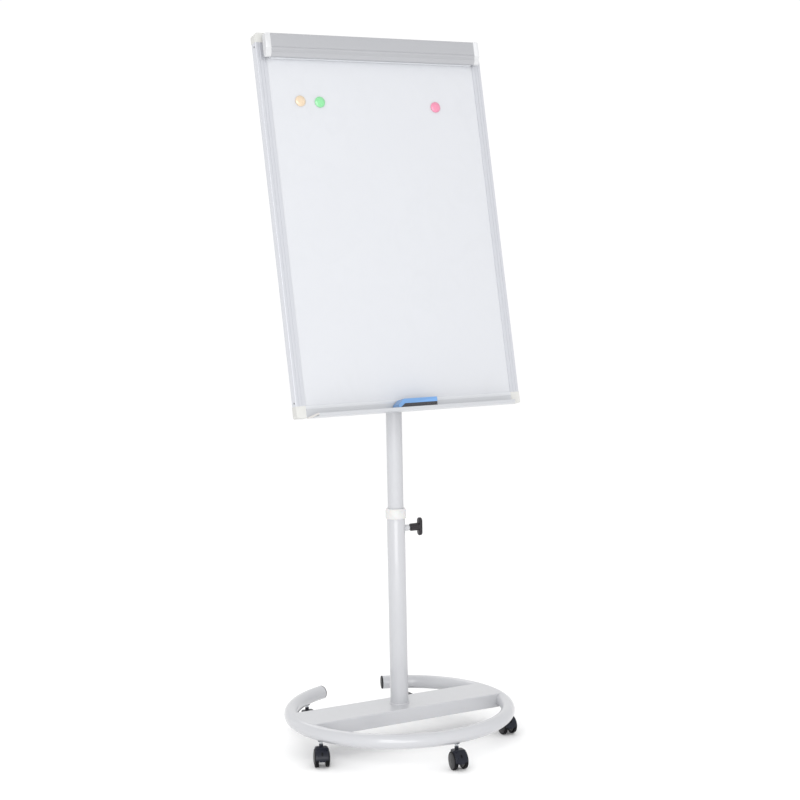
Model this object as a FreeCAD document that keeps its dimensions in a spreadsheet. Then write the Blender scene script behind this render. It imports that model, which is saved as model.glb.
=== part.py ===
import FreeCAD, Part
import Sketcher
import math
import os

# Mobile flip chart easel.
# Row frame: origin on the floor under the column axis, +X to the right of a person who
# faces the board, -Y towards that person, +Z up.  All lengths are millimetres.
# "Board frame": u = X, w = distance in front of the frame's front plane, v = distance up
# the board from its middle.  Board pieces are drawn upright, with y = -w and z = v, and
# their Placement leans them back.

V = FreeCAD.Vector
doc = FreeCAD.newDocument("FlipChartEasel")

# ---------------------------------------------------------------- driving dimensions
DIMENSIONS = [
    ("ring_radius", 312.5, "base ring, centre line radius"),
    ("ring_tube", 40.0, "base ring, tube diameter"),
    ("ring_wall", 1.5, "base ring, tube wall"),
    ("ring_axis_z", 90.0, "height of the ring's centre line"),
    ("ring_gap_middle", 91.2, "angle of the middle of the ring's open part"),
    ("ring_gap_half", 19.6, "half the open angle at the back of the ring"),
    ("plug_flange", 4.0, "thickness of an end plug outside the tube"),
    ("plug_depth", 14.0, "length of an end plug inside the tube"),
    ("channel_width", 134.0, "cross channel, front to back"),
    ("channel_sheet", 2.0, "cross channel, sheet thickness"),
    ("channel_top_z", 110.4, "cross channel, top surface"),
    ("channel_bottom_z", 70.4, "cross channel, lower edge of its flanges"),
    ("foot_flange_radius", 29.0, "cover ring at the foot of the column"),
    ("foot_flange_height", 2.4, "cover ring at the foot of the column"),
    ("lower_tube_radius", 26.0, "lower column tube, outside"),
    ("lower_tube_bore", 23.5, "lower column tube, inside radius"),
    ("lower_tube_top", 672.0, "lower column tube, top end"),
    ("foot_block_height", 26.0, "threaded block welded into the column's foot"),
    ("bolt_radius", 5.0, "column bolt shank"),
    ("collar_radius", 29.2, "collar, outside"),
    ("collar_bottom", 649.5, "collar, lower edge of its skirt"),
    ("collar_top", 679.5, "collar, top edge"),
    ("collar_sleeve_bottom", 634.0, "collar, lower end of its inner sleeve"),
    ("upper_tube_radius", 22.5, "upper column tube, outside"),
    ("upper_tube_bore", 21.0, "upper column tube, inside radius"),
    ("upper_tube_bottom", 520.0, "upper column tube, lower end"),
    ("upper_tube_top", 1190.0, "upper column tube, top end"),
    ("guide_radius", 23.4, "guide bush on the upper tube's lower end"),
    ("lock_z", 619.5, "height of the column's clamp screw"),
    ("lock_boss_radius", 9.0, "threaded boss on the lower tube"),
    ("lock_boss_end", 40.0, "outer face of the boss, from the column axis"),
    ("lock_screw_radius", 4.0, "clamp screw"),
    ("lock_head_x", 77.0, "middle of the knob's wing, from the column axis"),
    ("lock_head_length", 52.0, "length of the knob's wing"),
    ("lock_head_width", 20.0, "width of the knob's wing"),
    ("lock_head_depth", 9.0, "thickness of the knob's wing"),
    ("lock_hub_radius", 11.0, "hub of the knob"),
    ("caster_first", -88.4, "angle of the front caster on the ring"),
    ("caster_step", 73.8, "angle from one caster to the next"),
    ("caster_trail", 11.0, "from a caster's stem to its axle"),
    ("wheel_radius", 25.5, "caster wheel"),
    ("wheel_inner", 9.4, "inner face of a wheel from the caster's middle"),
    ("wheel_rim", 20.3, "outer edge of a wheel's tread from the caster's middle"),
    ("wheel_dome", 23.4, "crown of a wheel's outer face from the caster's middle"),
    ("axle_radius", 3.0, "caster axle"),
    ("hood_half", 18.6, "half the width of a caster's hood"),
    ("hood_shell", 28.0, "outside radius of a caster's hood"),
    ("hood_bore", 26.1, "inside radius of a caster's hood"),
    ("hood_web", 8.7, "half the thickness of the web between the wheels"),
    ("hood_top_z", 54.5, "flat top of a caster's hood"),
    ("stem_radius", 4.0, "caster stem"),
    ("board_width", 700.0, "frame, outside width"),
    ("board_height", 1050.0, "frame, outside height"),
    ("board_y", -6.0, "middle of the frame's front plane, front to back"),
    ("board_z", 1482.0, "middle of the frame's front plane, height"),
    ("board_tilt", 11.7, "lean of the board from upright, degrees"),
    ("frame_face", 28.0, "front face of a side member"),
    ("frame_depth", 26.0, "frame, front to back"),
    ("frame_top_face", 26.0, "front face of the top member"),
    ("frame_bottom_face", 32.0, "front face of the bottom member"),
    ("frame_skin", 2.0, "wall of the frame extrusions"),
    ("groove_width", 1.2, "decorative groove in the frame's face"),
    ("groove_depth", 0.8, "decorative groove in the frame's face"),
    ("panel_back", 14.0, "back of the board panel, behind the frame's front plane"),
    ("panel_edge", 10.0, "board panel's edge from the frame's outside"),
    ("sheet_thickness", 0.6, "steel writing sheet and back sheet"),
    ("cap_proud", 0.5, "how far a corner cap stands out of the frame"),
    ("cap_top_radius", 10.0, "rounding of the top corners"),
    ("cap_bottom_radius", 5.0, "rounding of the bottom corners"),
    ("tray_reach", 46.0, "pen tray, front lip from the frame's front plane"),
    ("tray_bottom", -528.0, "pen tray, underside, in the board frame"),
    ("tray_lip_top", -518.6, "pen tray, top of the front lip"),
    ("tray_back_top", -502.0, "pen tray, top of its back flange"),
    ("tray_wall", 1.8, "pen tray, wall"),
    ("tray_rib", 2.4, "pen tray, height of the floor ribs"),
    ("tray_half", 321.0, "pen tray, half length at the frame"),
    ("tray_front_half", 305.5, "pen tray, half length at the lip"),
    ("clamp_half", 317.0, "clamp rail, half length"),
    ("clamp_cap", 16.0, "clamp end cap, thickness"),
    ("clamp_top", 517.5, "clamp rail, top in the board frame"),
    ("clamp_bottom", 454.0, "clamp rail, lower edge in the board frame"),
    ("clamp_front", 30.0, "clamp rail, front face from the frame's front plane"),
    ("clamp_back", 9.0, "clamp rail, back edge from the frame's front plane"),
    ("clamp_wall", 1.8, "clamp rail, wall"),
    ("clamp_pivot_w", 14.0, "clamp pivot, in front of the frame's front plane"),
    ("clamp_pivot_v", 505.0, "clamp pivot, in the board frame"),
    ("clamp_pin_radius", 2.5, "clamp pivot pin"),
    ("magnet_radius", 15.0, "round magnet"),
    ("magnet_height", 8.0, "round magnet"),
    ("pivot_z", 1232.0, "tilt pivot on the column axis"),
    ("pivot_bolt_radius", 4.0, "tilt pivot bolt"),
    ("clevis_outer", 19.9, "outer face of a column clevis ear"),
    ("clevis_ear", 4.0, "thickness of a column clevis ear"),
    ("bracket_ear_inner", 20.0, "inner face of a board bracket ear"),
    ("bracket_sheet", 3.0, "board bracket, steel thickness"),
    ("running_gap", 0.05, "radial clearance of a pin in its hole"),
]

sheet = doc.addObject("Spreadsheet::Sheet", "Dims")
for row, (alias, number, meaning) in enumerate(DIMENSIONS, start=1):
    sheet.set("A%d" % row, alias)
    sheet.set("B%d" % row, repr(number))
    sheet.setAlias("B%d" % row, alias)
    sheet.set("C%d" % row, meaning)
doc.recompute()


class Size:
    """A length read from the sheet that keeps its own expression through arithmetic."""

    def __init__(self, number, text):
        self.number = number
        self.text = text

    def join(self, other, sign, number):
        other_text = other.text if isinstance(other, Size) else repr(float(other))
        return Size(number, "(%s %s %s)" % (self.text, sign, other_text))

    def __add__(self, other):
        return self.join(other, "+", self.number + num(other))

    def __sub__(self, other):
        return self.join(other, "-", self.number - num(other))

    def __mul__(self, other):
        return self.join(other, "*", self.number * num(other))

    def __truediv__(self, other):
        return self.join(other, "/", self.number / num(other))

    def __neg__(self):
        return Size(-self.number, "(0 - %s)" % self.text)

    def __radd__(self, other):
        return self + other

    def __rmul__(self, other):
        return self * other

    def __rsub__(self, other):
        return -self + other


def num(size):
    return size.number if isinstance(size, Size) else float(size)


class Sheet:
    """Gives each alias of the spreadsheet as a Size: D.ring_radius and so on."""

    def __getattr__(self, alias):
        return Size(float(sheet.get(alias)), "Dims." + alias)


D = Sheet()


# ---------------------------------------------------------------- small helpers
def bind(feature, name, size):
    """Sets a property, and ties it to the sheet when the size comes from there."""
    if isinstance(size, Size):
        feature.setExpression(name, size.text)
    else:
        setattr(feature, name, size)


def at(x=0.0, y=0.0, z=0.0, axis=None, angle=0.0):
    rotation = FreeCAD.Rotation(axis, angle) if axis is not None else FreeCAD.Rotation()
    return FreeCAD.Placement(V(num(x), num(y), num(z)), rotation)


def along(x, y, z, direction):
    """A placement at a point with +Z turned to a direction."""
    return FreeCAD.Placement(V(num(x), num(y), num(z)), FreeCAD.Rotation(V(0, 0, 1), direction))


AXIS_X = V(1, 0, 0)
AXIS_Y = V(0, 1, 0)
AXIS_Z = V(0, 0, 1)
BOARD = at(0, D.board_y, D.board_z, AXIS_X, -num(D.board_tilt))
NODES = []


def node(feature, label, placement=None):
    """Makes a feature one of the named sub-parts."""
    feature.Label = label
    if placement is not None:
        feature.Placement = placement
    NODES.append(feature)
    return feature


def box(x, y, z, low, placement=None):
    """A block of size x, y, z whose lowest corner is at the tuple low."""
    feature = doc.addObject("Part::Box", "Block")
    bind(feature, "Length", x)
    bind(feature, "Width", y)
    bind(feature, "Height", z)
    corner = at(*low)
    feature.Placement = placement * corner if placement is not None else corner
    return feature


def cylinder(radius, height, placement=None, sector=360.0):
    feature = doc.addObject("Part::Cylinder", "Round")
    bind(feature, "Radius", radius)
    bind(feature, "Height", height)
    feature.Angle = sector
    if placement is not None:
        feature.Placement = placement
    return feature


def torus(radius, tube, sweep, placement):
    feature = doc.addObject("Part::Torus", "Bend")
    bind(feature, "Radius1", radius)
    bind(feature, "Radius2", tube)
    feature.Angle1 = -180.0
    feature.Angle2 = 180.0
    bind(feature, "Angle3", sweep)
    feature.Placement = placement
    return feature


def fuse(*pieces):
    feature = doc.addObject("Part::MultiFuse", "Joined")
    feature.Shapes = list(pieces)
    return feature


def cut(base, *tools):
    feature = doc.addObject("Part::Cut", "Trimmed")
    feature.Base = base
    feature.Tool = tools[0] if len(tools) == 1 else fuse(*tools)
    return feature


def common(first, second):
    feature = doc.addObject("Part::Common", "Shared")
    feature.Base = first
    feature.Tool = second
    return feature


def group(*pieces):
    """Separate solids of one node, such as a set of screws."""
    feature = doc.addObject("Part::Compound", "Set")
    feature.Links = list(pieces)
    return feature


def ring_solid(outer, inner, height, placement=None):
    """A washer or tube between two radii."""
    z_drop = at(0, 0, -1.0)
    where = placement if placement is not None else at()
    return cut(cylinder(outer, height, where), cylinder(inner, height + 2.0, where * z_drop))


def pin_point(sketch, index, place, other, other_place, axis, size):
    """Holds one vertex at a distance from the origin along one axis of the sketch."""
    number = num(size)
    kind = "DistanceX" if axis == "x" else "DistanceY"
    if abs(number) < 1e-9:
        line = -2 if axis == "x" else -1
        sketch.addConstraint(Sketcher.Constraint("PointOnObject", index, place, line))
        return
    ends = (other, other_place, index, place)
    if number < 0:
        ends = (index, place, other, other_place)
        size = -size
    row = sketch.addConstraint(Sketcher.Constraint(kind, *ends, abs(number)))
    if isinstance(size, Size):
        sketch.setExpression("Constraints[%d]" % row, size.text)


def outline(body, plane, points, offset):
    """A closed outline of straight lines through points, each a pair of sizes."""
    sketch = body.newObject("Sketcher::SketchObject", "Outline")
    planes = [item for item in body.Origin.OriginFeatures if item.Role == plane]
    sketch.AttachmentSupport = [(planes[0], "")]
    sketch.MapMode = "FlatFace"
    sketch.AttachmentOffset = at(0, 0, offset)
    if isinstance(offset, Size):
        sketch.setExpression("AttachmentOffset.Base.z", offset.text)
    corners = [V(num(a), num(b), 0) for a, b in points]
    count = len(corners)
    for i in range(count):
        sketch.addGeometry(Part.LineSegment(corners[i], corners[(i + 1) % count]), False)
    for i in range(count):
        sketch.addConstraint(Sketcher.Constraint("Coincident", i, 2, (i + 1) % count, 1))
    for i, (a, b) in enumerate(points):
        pin_point(sketch, i, 1, -1, 1, "x", a)
        pin_point(sketch, i, 1, -1, 1, "y", b)
    return sketch


def new_body():
    return doc.addObject("PartDesign::Body", "Piece")


def pad(plane, points, start, length):
    """A body pushed out of a flat outline, from start to start + length."""
    body = new_body()
    feature = body.newObject("PartDesign::Pad", "Pad")
    feature.Profile = outline(body, plane, points, start)
    bind(feature, "Length", length)
    return body


def revolve(points, plane="XZ_Plane"):
    """A body turned about the sketch's upright axis from (radius, height) points."""
    body = new_body()
    sketch = outline(body, plane, points, 0.0)
    feature = body.newObject("PartDesign::Revolution", "Turned")
    feature.Profile = sketch
    feature.ReferenceAxis = (sketch, ["V_Axis"])
    feature.Angle = 360.0
    return body


def fillet(body, radius, wanted):
    """Rounds every edge of the body that the test picks."""
    doc.recompute()
    tip = body.Tip
    names = ["Edge%d" % (i + 1) for i, edge in enumerate(tip.Shape.Edges) if wanted(edge)]
    feature = body.newObject("PartDesign::Fillet", "Fillet")
    feature.Base = (tip, names)
    bind(feature, "Radius", radius)
    return body


def straight_edge(edge, direction, **where):
    """True for a straight edge along a direction through the given coordinates."""
    if len(edge.Vertexes) != 2 or not isinstance(edge.Curve, Part.Line):
        return False
    if abs(abs(edge.Curve.Direction * direction) - 1.0) > 1e-6:
        return False
    middle = edge.valueAt((edge.FirstParameter + edge.LastParameter) / 2.0)
    return all(abs(getattr(middle, axis) - num(size)) < 0.02 for axis, size in where.items())


# ---------------------------------------------------------------- base
def ring_point(angle):
    """X and Y of the ring's centre line at an angle in degrees."""
    radius = num(D.ring_radius)
    turn = math.radians(angle)
    return radius * math.cos(turn), radius * math.sin(turn)


CASTERS = [("rear_left", -2, -98.0), ("left", -1, -110.0), ("front", 0, -97.0),
           ("right", 0.95, -93.0), ("rear_right", 2, -90.0)]


def caster_spot(step):
    return ring_point(num(D.caster_first) + step * num(D.caster_step))


def make_ring():
    start = at(0, 0, D.ring_axis_z, AXIS_Z, num(D.ring_gap_middle) + num(D.ring_gap_half))
    sweep = 360.0 - D.ring_gap_half * 2
    outside = torus(D.ring_radius, D.ring_tube / 2, sweep, start)
    inside = torus(D.ring_radius, D.ring_tube / 2 - D.ring_wall, sweep, start)
    drills = []
    for _, step, _ in CASTERS:
        x, y = caster_spot(step)
        low = D.ring_axis_z - D.ring_tube / 2 - 2.0
        drills.append(cylinder(D.stem_radius + 0.2, 12.0, at(x, y, low)))
    node(cut(outside, inside, *drills), "base_ring")


def make_channel():
    half = D.channel_width / 2
    inner = half - D.channel_sheet
    low = D.channel_bottom_z
    top = D.channel_top_z
    under = top - D.channel_sheet
    section = [(-half, low), (-half, top), (half, top), (half, low),
               (inner, low), (inner, under), (-inner, under), (-inner, low)]
    length = D.ring_radius * 2 + 20.0
    body = pad("YZ_Plane", section, -length / 2, length)
    fillet(body, 2.4, lambda e: straight_edge(e, AXIS_X, z=top))
    tube = torus(D.ring_radius, D.ring_tube / 2, 360.0, at(0, 0, D.ring_axis_z))
    beyond = ring_solid(D.ring_radius + 60.0, D.ring_radius, 60.0, at(0, 0, low - 5.0))
    bolt_hole = cylinder(D.bolt_radius + 0.5, 20.0, at(0, 0, under - 9.0))
    node(cut(body, tube, beyond, bolt_hole), "cross_channel")


def make_end_plugs():
    plugs = []
    for side in (1, -1):
        angle = num(D.ring_gap_middle) - side * num(D.ring_gap_half)
        turn = math.radians(angle)
        outward = V(-side * math.sin(turn), side * math.cos(turn), 0)
        x, y = ring_point(angle)
        spot = along(x, y, D.ring_axis_z, outward)
        flange = cylinder(D.ring_tube / 2, D.plug_flange, spot)
        shank = cylinder(D.ring_tube / 2 - D.ring_wall - 0.7, D.plug_depth, spot * at(0, 0, -D.plug_depth))
        plugs.append(fuse(flange, shank))
    node(group(*plugs), "ring_end_plugs")


def make_column_foot():
    top = D.channel_top_z
    flange_top = top + D.foot_flange_height
    spigot = D.lower_tube_bore - 0.1
    hole = D.bolt_radius + 0.05
    section = [(hole, top), (D.foot_flange_radius, top), (D.foot_flange_radius, flange_top),
               (spigot, flange_top), (spigot, flange_top + 22.0), (hole, flange_top + 22.0)]
    node(revolve(section), "column_foot")
    head = cylinder(8.5, 6.0, at(0, 0, top - D.channel_sheet - 8.0))
    shank = cylinder(D.bolt_radius, 28.0, at(0, 0, top - D.channel_sheet - 2.0))
    washer = ring_solid(12.0, D.bolt_radius + 0.1, 2.0, at(0, 0, top - D.channel_sheet - 2.0))
    node(group(fuse(head, shank), washer), "column_bolt_and_washer")


def make_lower_tube():
    bottom = D.channel_top_z + D.foot_flange_height
    height = D.lower_tube_top - bottom
    tube = cylinder(D.lower_tube_radius, height, at(0, 0, bottom))
    bore = cylinder(D.lower_tube_bore, height + 2.0, at(0, 0, bottom - 1.0))
    screw_hole = cylinder(D.lock_screw_radius + 0.5, 12.0, along(18.0, 0, D.lock_z, AXIS_X))
    node(cut(tube, bore, screw_hole), "lower_tube")
    boss = cylinder(D.lock_boss_radius, D.lock_boss_end - 20.0, along(20.0, 0, D.lock_z, AXIS_X))
    thread = cylinder(D.lock_screw_radius + D.running_gap, 30.0, along(18.0, 0, D.lock_z, AXIS_X))
    column = cylinder(D.lower_tube_radius, 40.0, at(0, 0, D.lock_z - 20.0))
    node(cut(boss, thread, column), "lock_boss")


def make_collar():
    sleeve = D.upper_tube_radius + 0.1
    sleeve_out = D.lower_tube_bore - D.running_gap
    skirt = D.lower_tube_radius + D.running_gap
    rest = D.lower_tube_top + 0.05
    section = [(sleeve, D.collar_sleeve_bottom), (sleeve_out, D.collar_sleeve_bottom),
               (sleeve_out, rest), (skirt, rest), (skirt, D.collar_bottom),
               (skirt + 1.0, D.collar_bottom), (D.collar_radius, D.collar_bottom + 3.0),
               (D.collar_radius, D.collar_top - 5.0), (D.collar_radius - 3.0, D.collar_top),
               (sleeve, D.collar_top)]
    node(revolve(section), "collar")


# ---------------------------------------------------------------- casters
def make_stems():
    ring_low = D.ring_axis_z - D.ring_tube / 2
    stems = []
    for _, step, _ in CASTERS:
        x, y = caster_spot(step)
        pin = cylinder(D.stem_radius, ring_low - 34.5 + 9.0, at(x, y, 34.5))
        shoulder = cylinder(D.stem_radius + 0.75, 6.2, at(x, y, ring_low - 7.8))
        flange = cylinder(8.7, 1.6, at(x, y, ring_low - 1.6))
        stems.append(fuse(pin, shoulder, flange))
    node(group(*stems), "caster_stems")


def make_hood(spot, label):
    axle_x = D.caster_trail
    axle_z = D.wheel_radius
    half = D.hood_half
    top = D.hood_top_z
    middle = spot * along(axle_x, 0, axle_z, AXIS_Y)
    web = cylinder(D.hood_bore + 0.8, D.hood_web * 2, middle * at(0, 0, -D.hood_web))
    shell = ring_solid(D.hood_shell, D.hood_bore, half * 2, middle * at(0, 0, -half))
    kept = box(47.0, half * 2, 40.0, (-6.2, -half, 25.0), spot)
    profile = [(-8.0, 46.0), (-8.0, top - 3.4), (-6.8, top - 1.1), (-4.4, top),
               (15.2, top), (18.0, top - 0.6), (20.0, top - 2.6), (20.0, 46.0)]
    roof = pad("XZ_Plane", profile, -half, half * 2)
    roof.Placement = spot
    clear = cylinder(D.hood_bore, half * 2 + 2.0, middle * at(0, 0, -half - 1.0))
    cross = [(-half, 10.0), (half, 10.0), (half, top - 4.0), (half - 1.1, top - 1.4),
             (half - 3.6, top), (-(half - 3.6), top), (-(half - 1.1), top - 1.4), (-half, top - 4.0)]
    rounded = pad("YZ_Plane", cross, -20.0, 70.0)
    rounded.Placement = spot
    plan = [(-8.0, -9.5), (-8.0, 9.5), (-6.6, 13.0), (-3.8, 16.0), (0.0, 18.0), (3.4, half),
            (60.0, half), (60.0, -half), (3.4, -half), (0.0, -18.0), (-3.8, -16.0), (-6.6, -13.0)]
    footprint = pad("XY_Plane", plan, 10.0, 60.0)
    footprint.Placement = spot
    cover = common(common(cut(fuse(common(shell, kept), roof), clear), rounded), footprint)
    housing = box(axle_x + 9.0, D.hood_web * 2, top - 1.0 - 27.0, (-9.0, -D.hood_web, 27.0), spot)
    neck = cylinder(5.6, 7.5, spot * at(0, 0, top))
    solid = fuse(web, cover, housing, neck)
    below = box(80.0, 50.0, 26.0, (-20.0, -25.0, -6.0), spot)
    socket = cylinder(D.stem_radius + D.running_gap, 40.0, spot * at(0, 0, 34.0))
    axle_hole = cylinder(D.axle_radius, 60.0, middle * at(0, 0, -30.0))
    node(cut(solid, below, socket, axle_hole), label)


def wheel_section():
    """Radius and height over the inner face of a wheel, with a blind axle bore."""
    rim = D.wheel_radius
    bore = D.axle_radius + D.running_gap
    tread = D.wheel_rim - D.wheel_inner
    crown = D.wheel_dome - D.wheel_inner
    return [(bore, 0.0), (rim - 3.0, 0.0), (rim, 1.6), (rim, tread - 1.6), (rim - 1.2, tread),
            (rim - 2.6, tread), (rim - 3.0, tread - 0.8), (rim - 3.9, tread - 0.8),
            (rim - 4.6, tread + 0.5), (rim - 13.0, tread + 2.3), (0.0, crown),
            (0.0, tread + 1.3), (bore, tread + 1.3)]


def make_casters():
    for name, step, yaw in CASTERS:
        x, y = caster_spot(step)
        spot = at(x, y, 0, AXIS_Z, yaw)
        make_hood(spot, "caster_hood_" + name)
        middle = spot * along(D.caster_trail, 0, D.wheel_radius, AXIS_Y)
        reach = D.wheel_rim + 1.0
        axle = cylinder(D.axle_radius, reach * 2, middle * at(0, 0, -reach))
        node(axle, "caster_axle_" + name)
        flipped = middle * at(0, 0, 0, AXIS_X, 180.0)
        for side, place in (("a", middle), ("b", flipped)):
            wheel = revolve(wheel_section())
            node(wheel, "caster_wheel_%s_%s" % (name, side), place * at(0, 0, D.wheel_inner))


# ---------------------------------------------------------------- column clamp and mast
def make_column_lock():
    pad_start = D.upper_tube_radius + 0.1
    tip = D.lower_tube_radius - 0.3
    disc = cylinder(D.lock_screw_radius - 0.1, tip - pad_start, along(pad_start, 0, D.lock_z, AXIS_X))
    node(disc, "lock_pad")
    hub_start = D.lock_boss_end + 5.0
    head_start = D.lock_head_x - D.lock_head_depth / 2
    screw_start = tip + 0.05
    screw_end = D.lock_head_x - 4.0
    screw = cylinder(D.lock_screw_radius, screw_end - screw_start,
                     along(screw_start, 0, D.lock_z, AXIS_X))
    node(screw, "lock_screw")
    hub = cylinder(D.lock_hub_radius, head_start - hub_start, along(hub_start, 0, D.lock_z, AXIS_X))
    end_radius = D.lock_head_width / 2
    reach = D.lock_head_length / 2 - end_radius
    bar = box(D.lock_head_depth, D.lock_head_width, reach * 2, (head_start, -end_radius, D.lock_z - reach))
    ends = [cylinder(end_radius, D.lock_head_depth, along(head_start, 0, D.lock_z + side * reach, AXIS_X))
            for side in (1, -1)]
    flutes = []
    for i in range(8):
        turn = math.radians(22.5 + 45.0 * i)
        offset = num(D.lock_hub_radius) + 1.2
        flutes.append(cylinder(2.4, head_start - hub_start - 4.0,
                               along(hub_start, offset * math.cos(turn),
                                     D.lock_z + offset * math.sin(turn), AXIS_X)))
    thread = cylinder(D.lock_screw_radius, screw_end - hub_start + 1.0,
                      along(hub_start - 1.0, 0, D.lock_z, AXIS_X))
    node(cut(fuse(hub, bar, *ends), thread, *flutes), "lock_knob")


def make_mast():
    bottom = D.upper_tube_bottom
    inside = D.upper_tube_bore - D.running_gap
    shoulder = bottom - 0.1
    section = [(5.0, bottom - 16.0), (D.guide_radius, bottom - 16.0), (D.guide_radius, shoulder),
               (inside, shoulder), (inside, bottom + 14.0), (inside - 3.0, bottom + 14.0),
               (inside - 3.0, bottom - 12.0), (5.0, bottom - 12.0)]
    node(revolve(section), "guide_bush")
    node(ring_solid(D.upper_tube_radius, D.upper_tube_bore, D.upper_tube_top - bottom,
                    at(0, 0, bottom)), "upper_tube")
    top = D.upper_tube_top
    plug = cylinder(D.upper_tube_bore - 0.1, 25.0, at(0, 0, top - 25.0))
    disc = cylinder(D.upper_tube_radius, 6.0, at(0, 0, top))
    ear_low = top + 5.0
    ears = []
    for side in (1, -1):
        inner = D.clevis_outer - D.clevis_ear
        low_x = inner if side > 0 else -D.clevis_outer
        ears.append(box(D.clevis_ear, 28.0, D.pivot_z - ear_low, (low_x, -14.0, ear_low)))
        ears.append(cylinder(14.0, D.clevis_ear, along(low_x, 0, D.pivot_z, AXIS_X)))
    hole = cylinder(D.pivot_bolt_radius + D.running_gap, 60.0, along(-30.0, 0, D.pivot_z, AXIS_X))
    node(cut(fuse(plug, disc, *ears), hole), "head_clevis")


# ---------------------------------------------------------------- tilt pivot
TILT = math.radians(num(D.board_tilt))
PIVOT_DROP = num(D.pivot_z - D.board_z)
PIVOT_W = num(D.board_y) * math.cos(TILT) + PIVOT_DROP * math.sin(TILT)
PIVOT_V = -num(D.board_y) * math.sin(TILT) + PIVOT_DROP * math.cos(TILT)
SCREW_SPOTS = [(u, PIVOT_V + v) for u in (-58.0, 58.0) for v in (-95.0, 20.0, 135.0)]


def rear_drills(radius, depth, front):
    """Screw shanks into the back of the panel, from the bracket towards the front."""
    return [cylinder(radius, depth, BOARD * along(u, front, v, AXIS_Y)) for u, v in SCREW_SPOTS]


def make_bracket():
    back = D.panel_back
    steel = D.bracket_sheet
    plate = box(140.0, steel, 260.0, (-70.0, back, PIVOT_V - 110.0), BOARD)
    ears = []
    for side in (1, -1):
        low_u = D.bracket_ear_inner if side > 0 else -(D.bracket_ear_inner + steel)
        reach = -PIVOT_W - back
        ears.append(box(steel, reach, 34.0, (low_u, back + 1.0, PIVOT_V - 17.0), BOARD))
        ears.append(cylinder(17.0, steel, along(low_u, 0, D.pivot_z, AXIS_X)))
    hole = cylinder(D.pivot_bolt_radius + 0.15, 70.0, along(-35.0, 0, D.pivot_z, AXIS_X))
    drills = rear_drills(2.0, 8.0, back - 1.0)
    node(cut(fuse(plate, *ears), hole, *drills), "tilt_bracket")
    screws = []
    for u, v in SCREW_SPOTS:
        shank = cylinder(2.0, 11.0, BOARD * along(u, back - 8.0, v, AXIS_Y))
        head = cylinder(4.2, 2.4, BOARD * along(u, back + steel, v, AXIS_Y))
        screws.append(fuse(shank, head))
    for side in (1, -1):
        for v in FRAME_SCREWS:
            outward = V(side, 0, 0)
            low = D.board_width / 2 - D.frame_skin
            shank = cylinder(1.4, D.frame_skin, BOARD * along(low * side, 10.0, v, outward))
            head = cylinder(2.3, 0.45, BOARD * along(D.board_width / 2 * side, 10.0, v, outward))
            screws.append(fuse(shank, head))
    node(group(*screws), "board_screws")


FRAME_SCREWS = [488.0, -484.0]


def make_tilt_lock():
    ear = D.bracket_ear_inner + D.bracket_sheet
    bolt_end = ear + 17.0
    head = cylinder(8.0, 5.0, along(-ear - 5.0, 0, D.pivot_z, AXIS_X))
    shank = cylinder(D.pivot_bolt_radius, bolt_end + ear, along(-ear, 0, D.pivot_z, AXIS_X))
    node(fuse(head, shank), "pivot_bolt")
    bore = D.pivot_bolt_radius + D.running_gap
    node(ring_solid(10.0, bore, 2.0, along(ear + 0.1, 0, D.pivot_z, AXIS_X)), "tilt_washer")
    start = ear + 2.2
    hub = cylinder(9.0, 10.0, along(start, 0, D.pivot_z, AXIS_X))
    head_start = start + 7.0
    pieces = [hub, cylinder(15.0, 12.0, along(head_start, 0, D.pivot_z, AXIS_X))]
    for i in range(5):
        turn = math.radians(90.0 + 72.0 * i)
        pieces.append(cylinder(6.5, 12.0, along(head_start, 14.0 * math.cos(turn),
                                                D.pivot_z + 14.0 * math.sin(turn), AXIS_X)))
    thread = cylinder(bore, 17.5, along(start - 1.0, 0, D.pivot_z, AXIS_X))
    node(cut(fuse(*pieces), thread), "tilt_knob")


# ---------------------------------------------------------------- board frame and panel
def member_section(outer, face, turned):
    """Section of a frame extrusion: outer edge, face width; turned swaps the two axes."""
    skin = D.frame_skin
    depth = D.frame_depth
    inner = outer - face
    slot = outer - D.panel_edge + 1.0
    rear = outer - 20.0
    behind = D.panel_back + 0.2
    points = [(inner, 0.0)]
    for middle in (inner + face * 0.35, inner + face * 0.66):
        low = middle - D.groove_width / 2
        high = middle + D.groove_width / 2
        points += [(low, 0.0), (low, D.groove_depth), (high, D.groove_depth), (high, 0.0)]
    points += [(outer, 0.0), (outer, depth), (rear, depth), (rear, behind), (slot, behind),
               (slot, skin), (inner, skin)]
    hollow = [(slot + 2.0, skin), (outer - skin, skin), (outer - skin, depth - skin),
              (rear + skin, depth - skin), (rear + skin, behind + skin), (slot + 2.0, behind + skin)]
    if turned is not None:
        points = [turned(a, y) for a, y in points]
        hollow = [turned(a, y) for a, y in hollow]
    return points, hollow


def make_member(label, plane, section, start, length, edge):
    points, hollow = section
    body = pad(plane, points, start, length)
    fillet(body, 1.6, edge)
    drills = pad(plane, hollow, start - 1.0, length + 2.0)
    body.Placement = BOARD
    drills.Placement = BOARD
    shanks = []
    if plane == "XY_Plane":
        side = 1 if label.endswith("right") else -1
        low = D.board_width / 2 - D.frame_skin - 2.0
        shanks = [cylinder(1.4, 6.0, BOARD * along(low * side, 10.0, v, V(side, 0, 0)))
                  for v in FRAME_SCREWS]
    node(cut(body, drills, *shanks), label)


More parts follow.
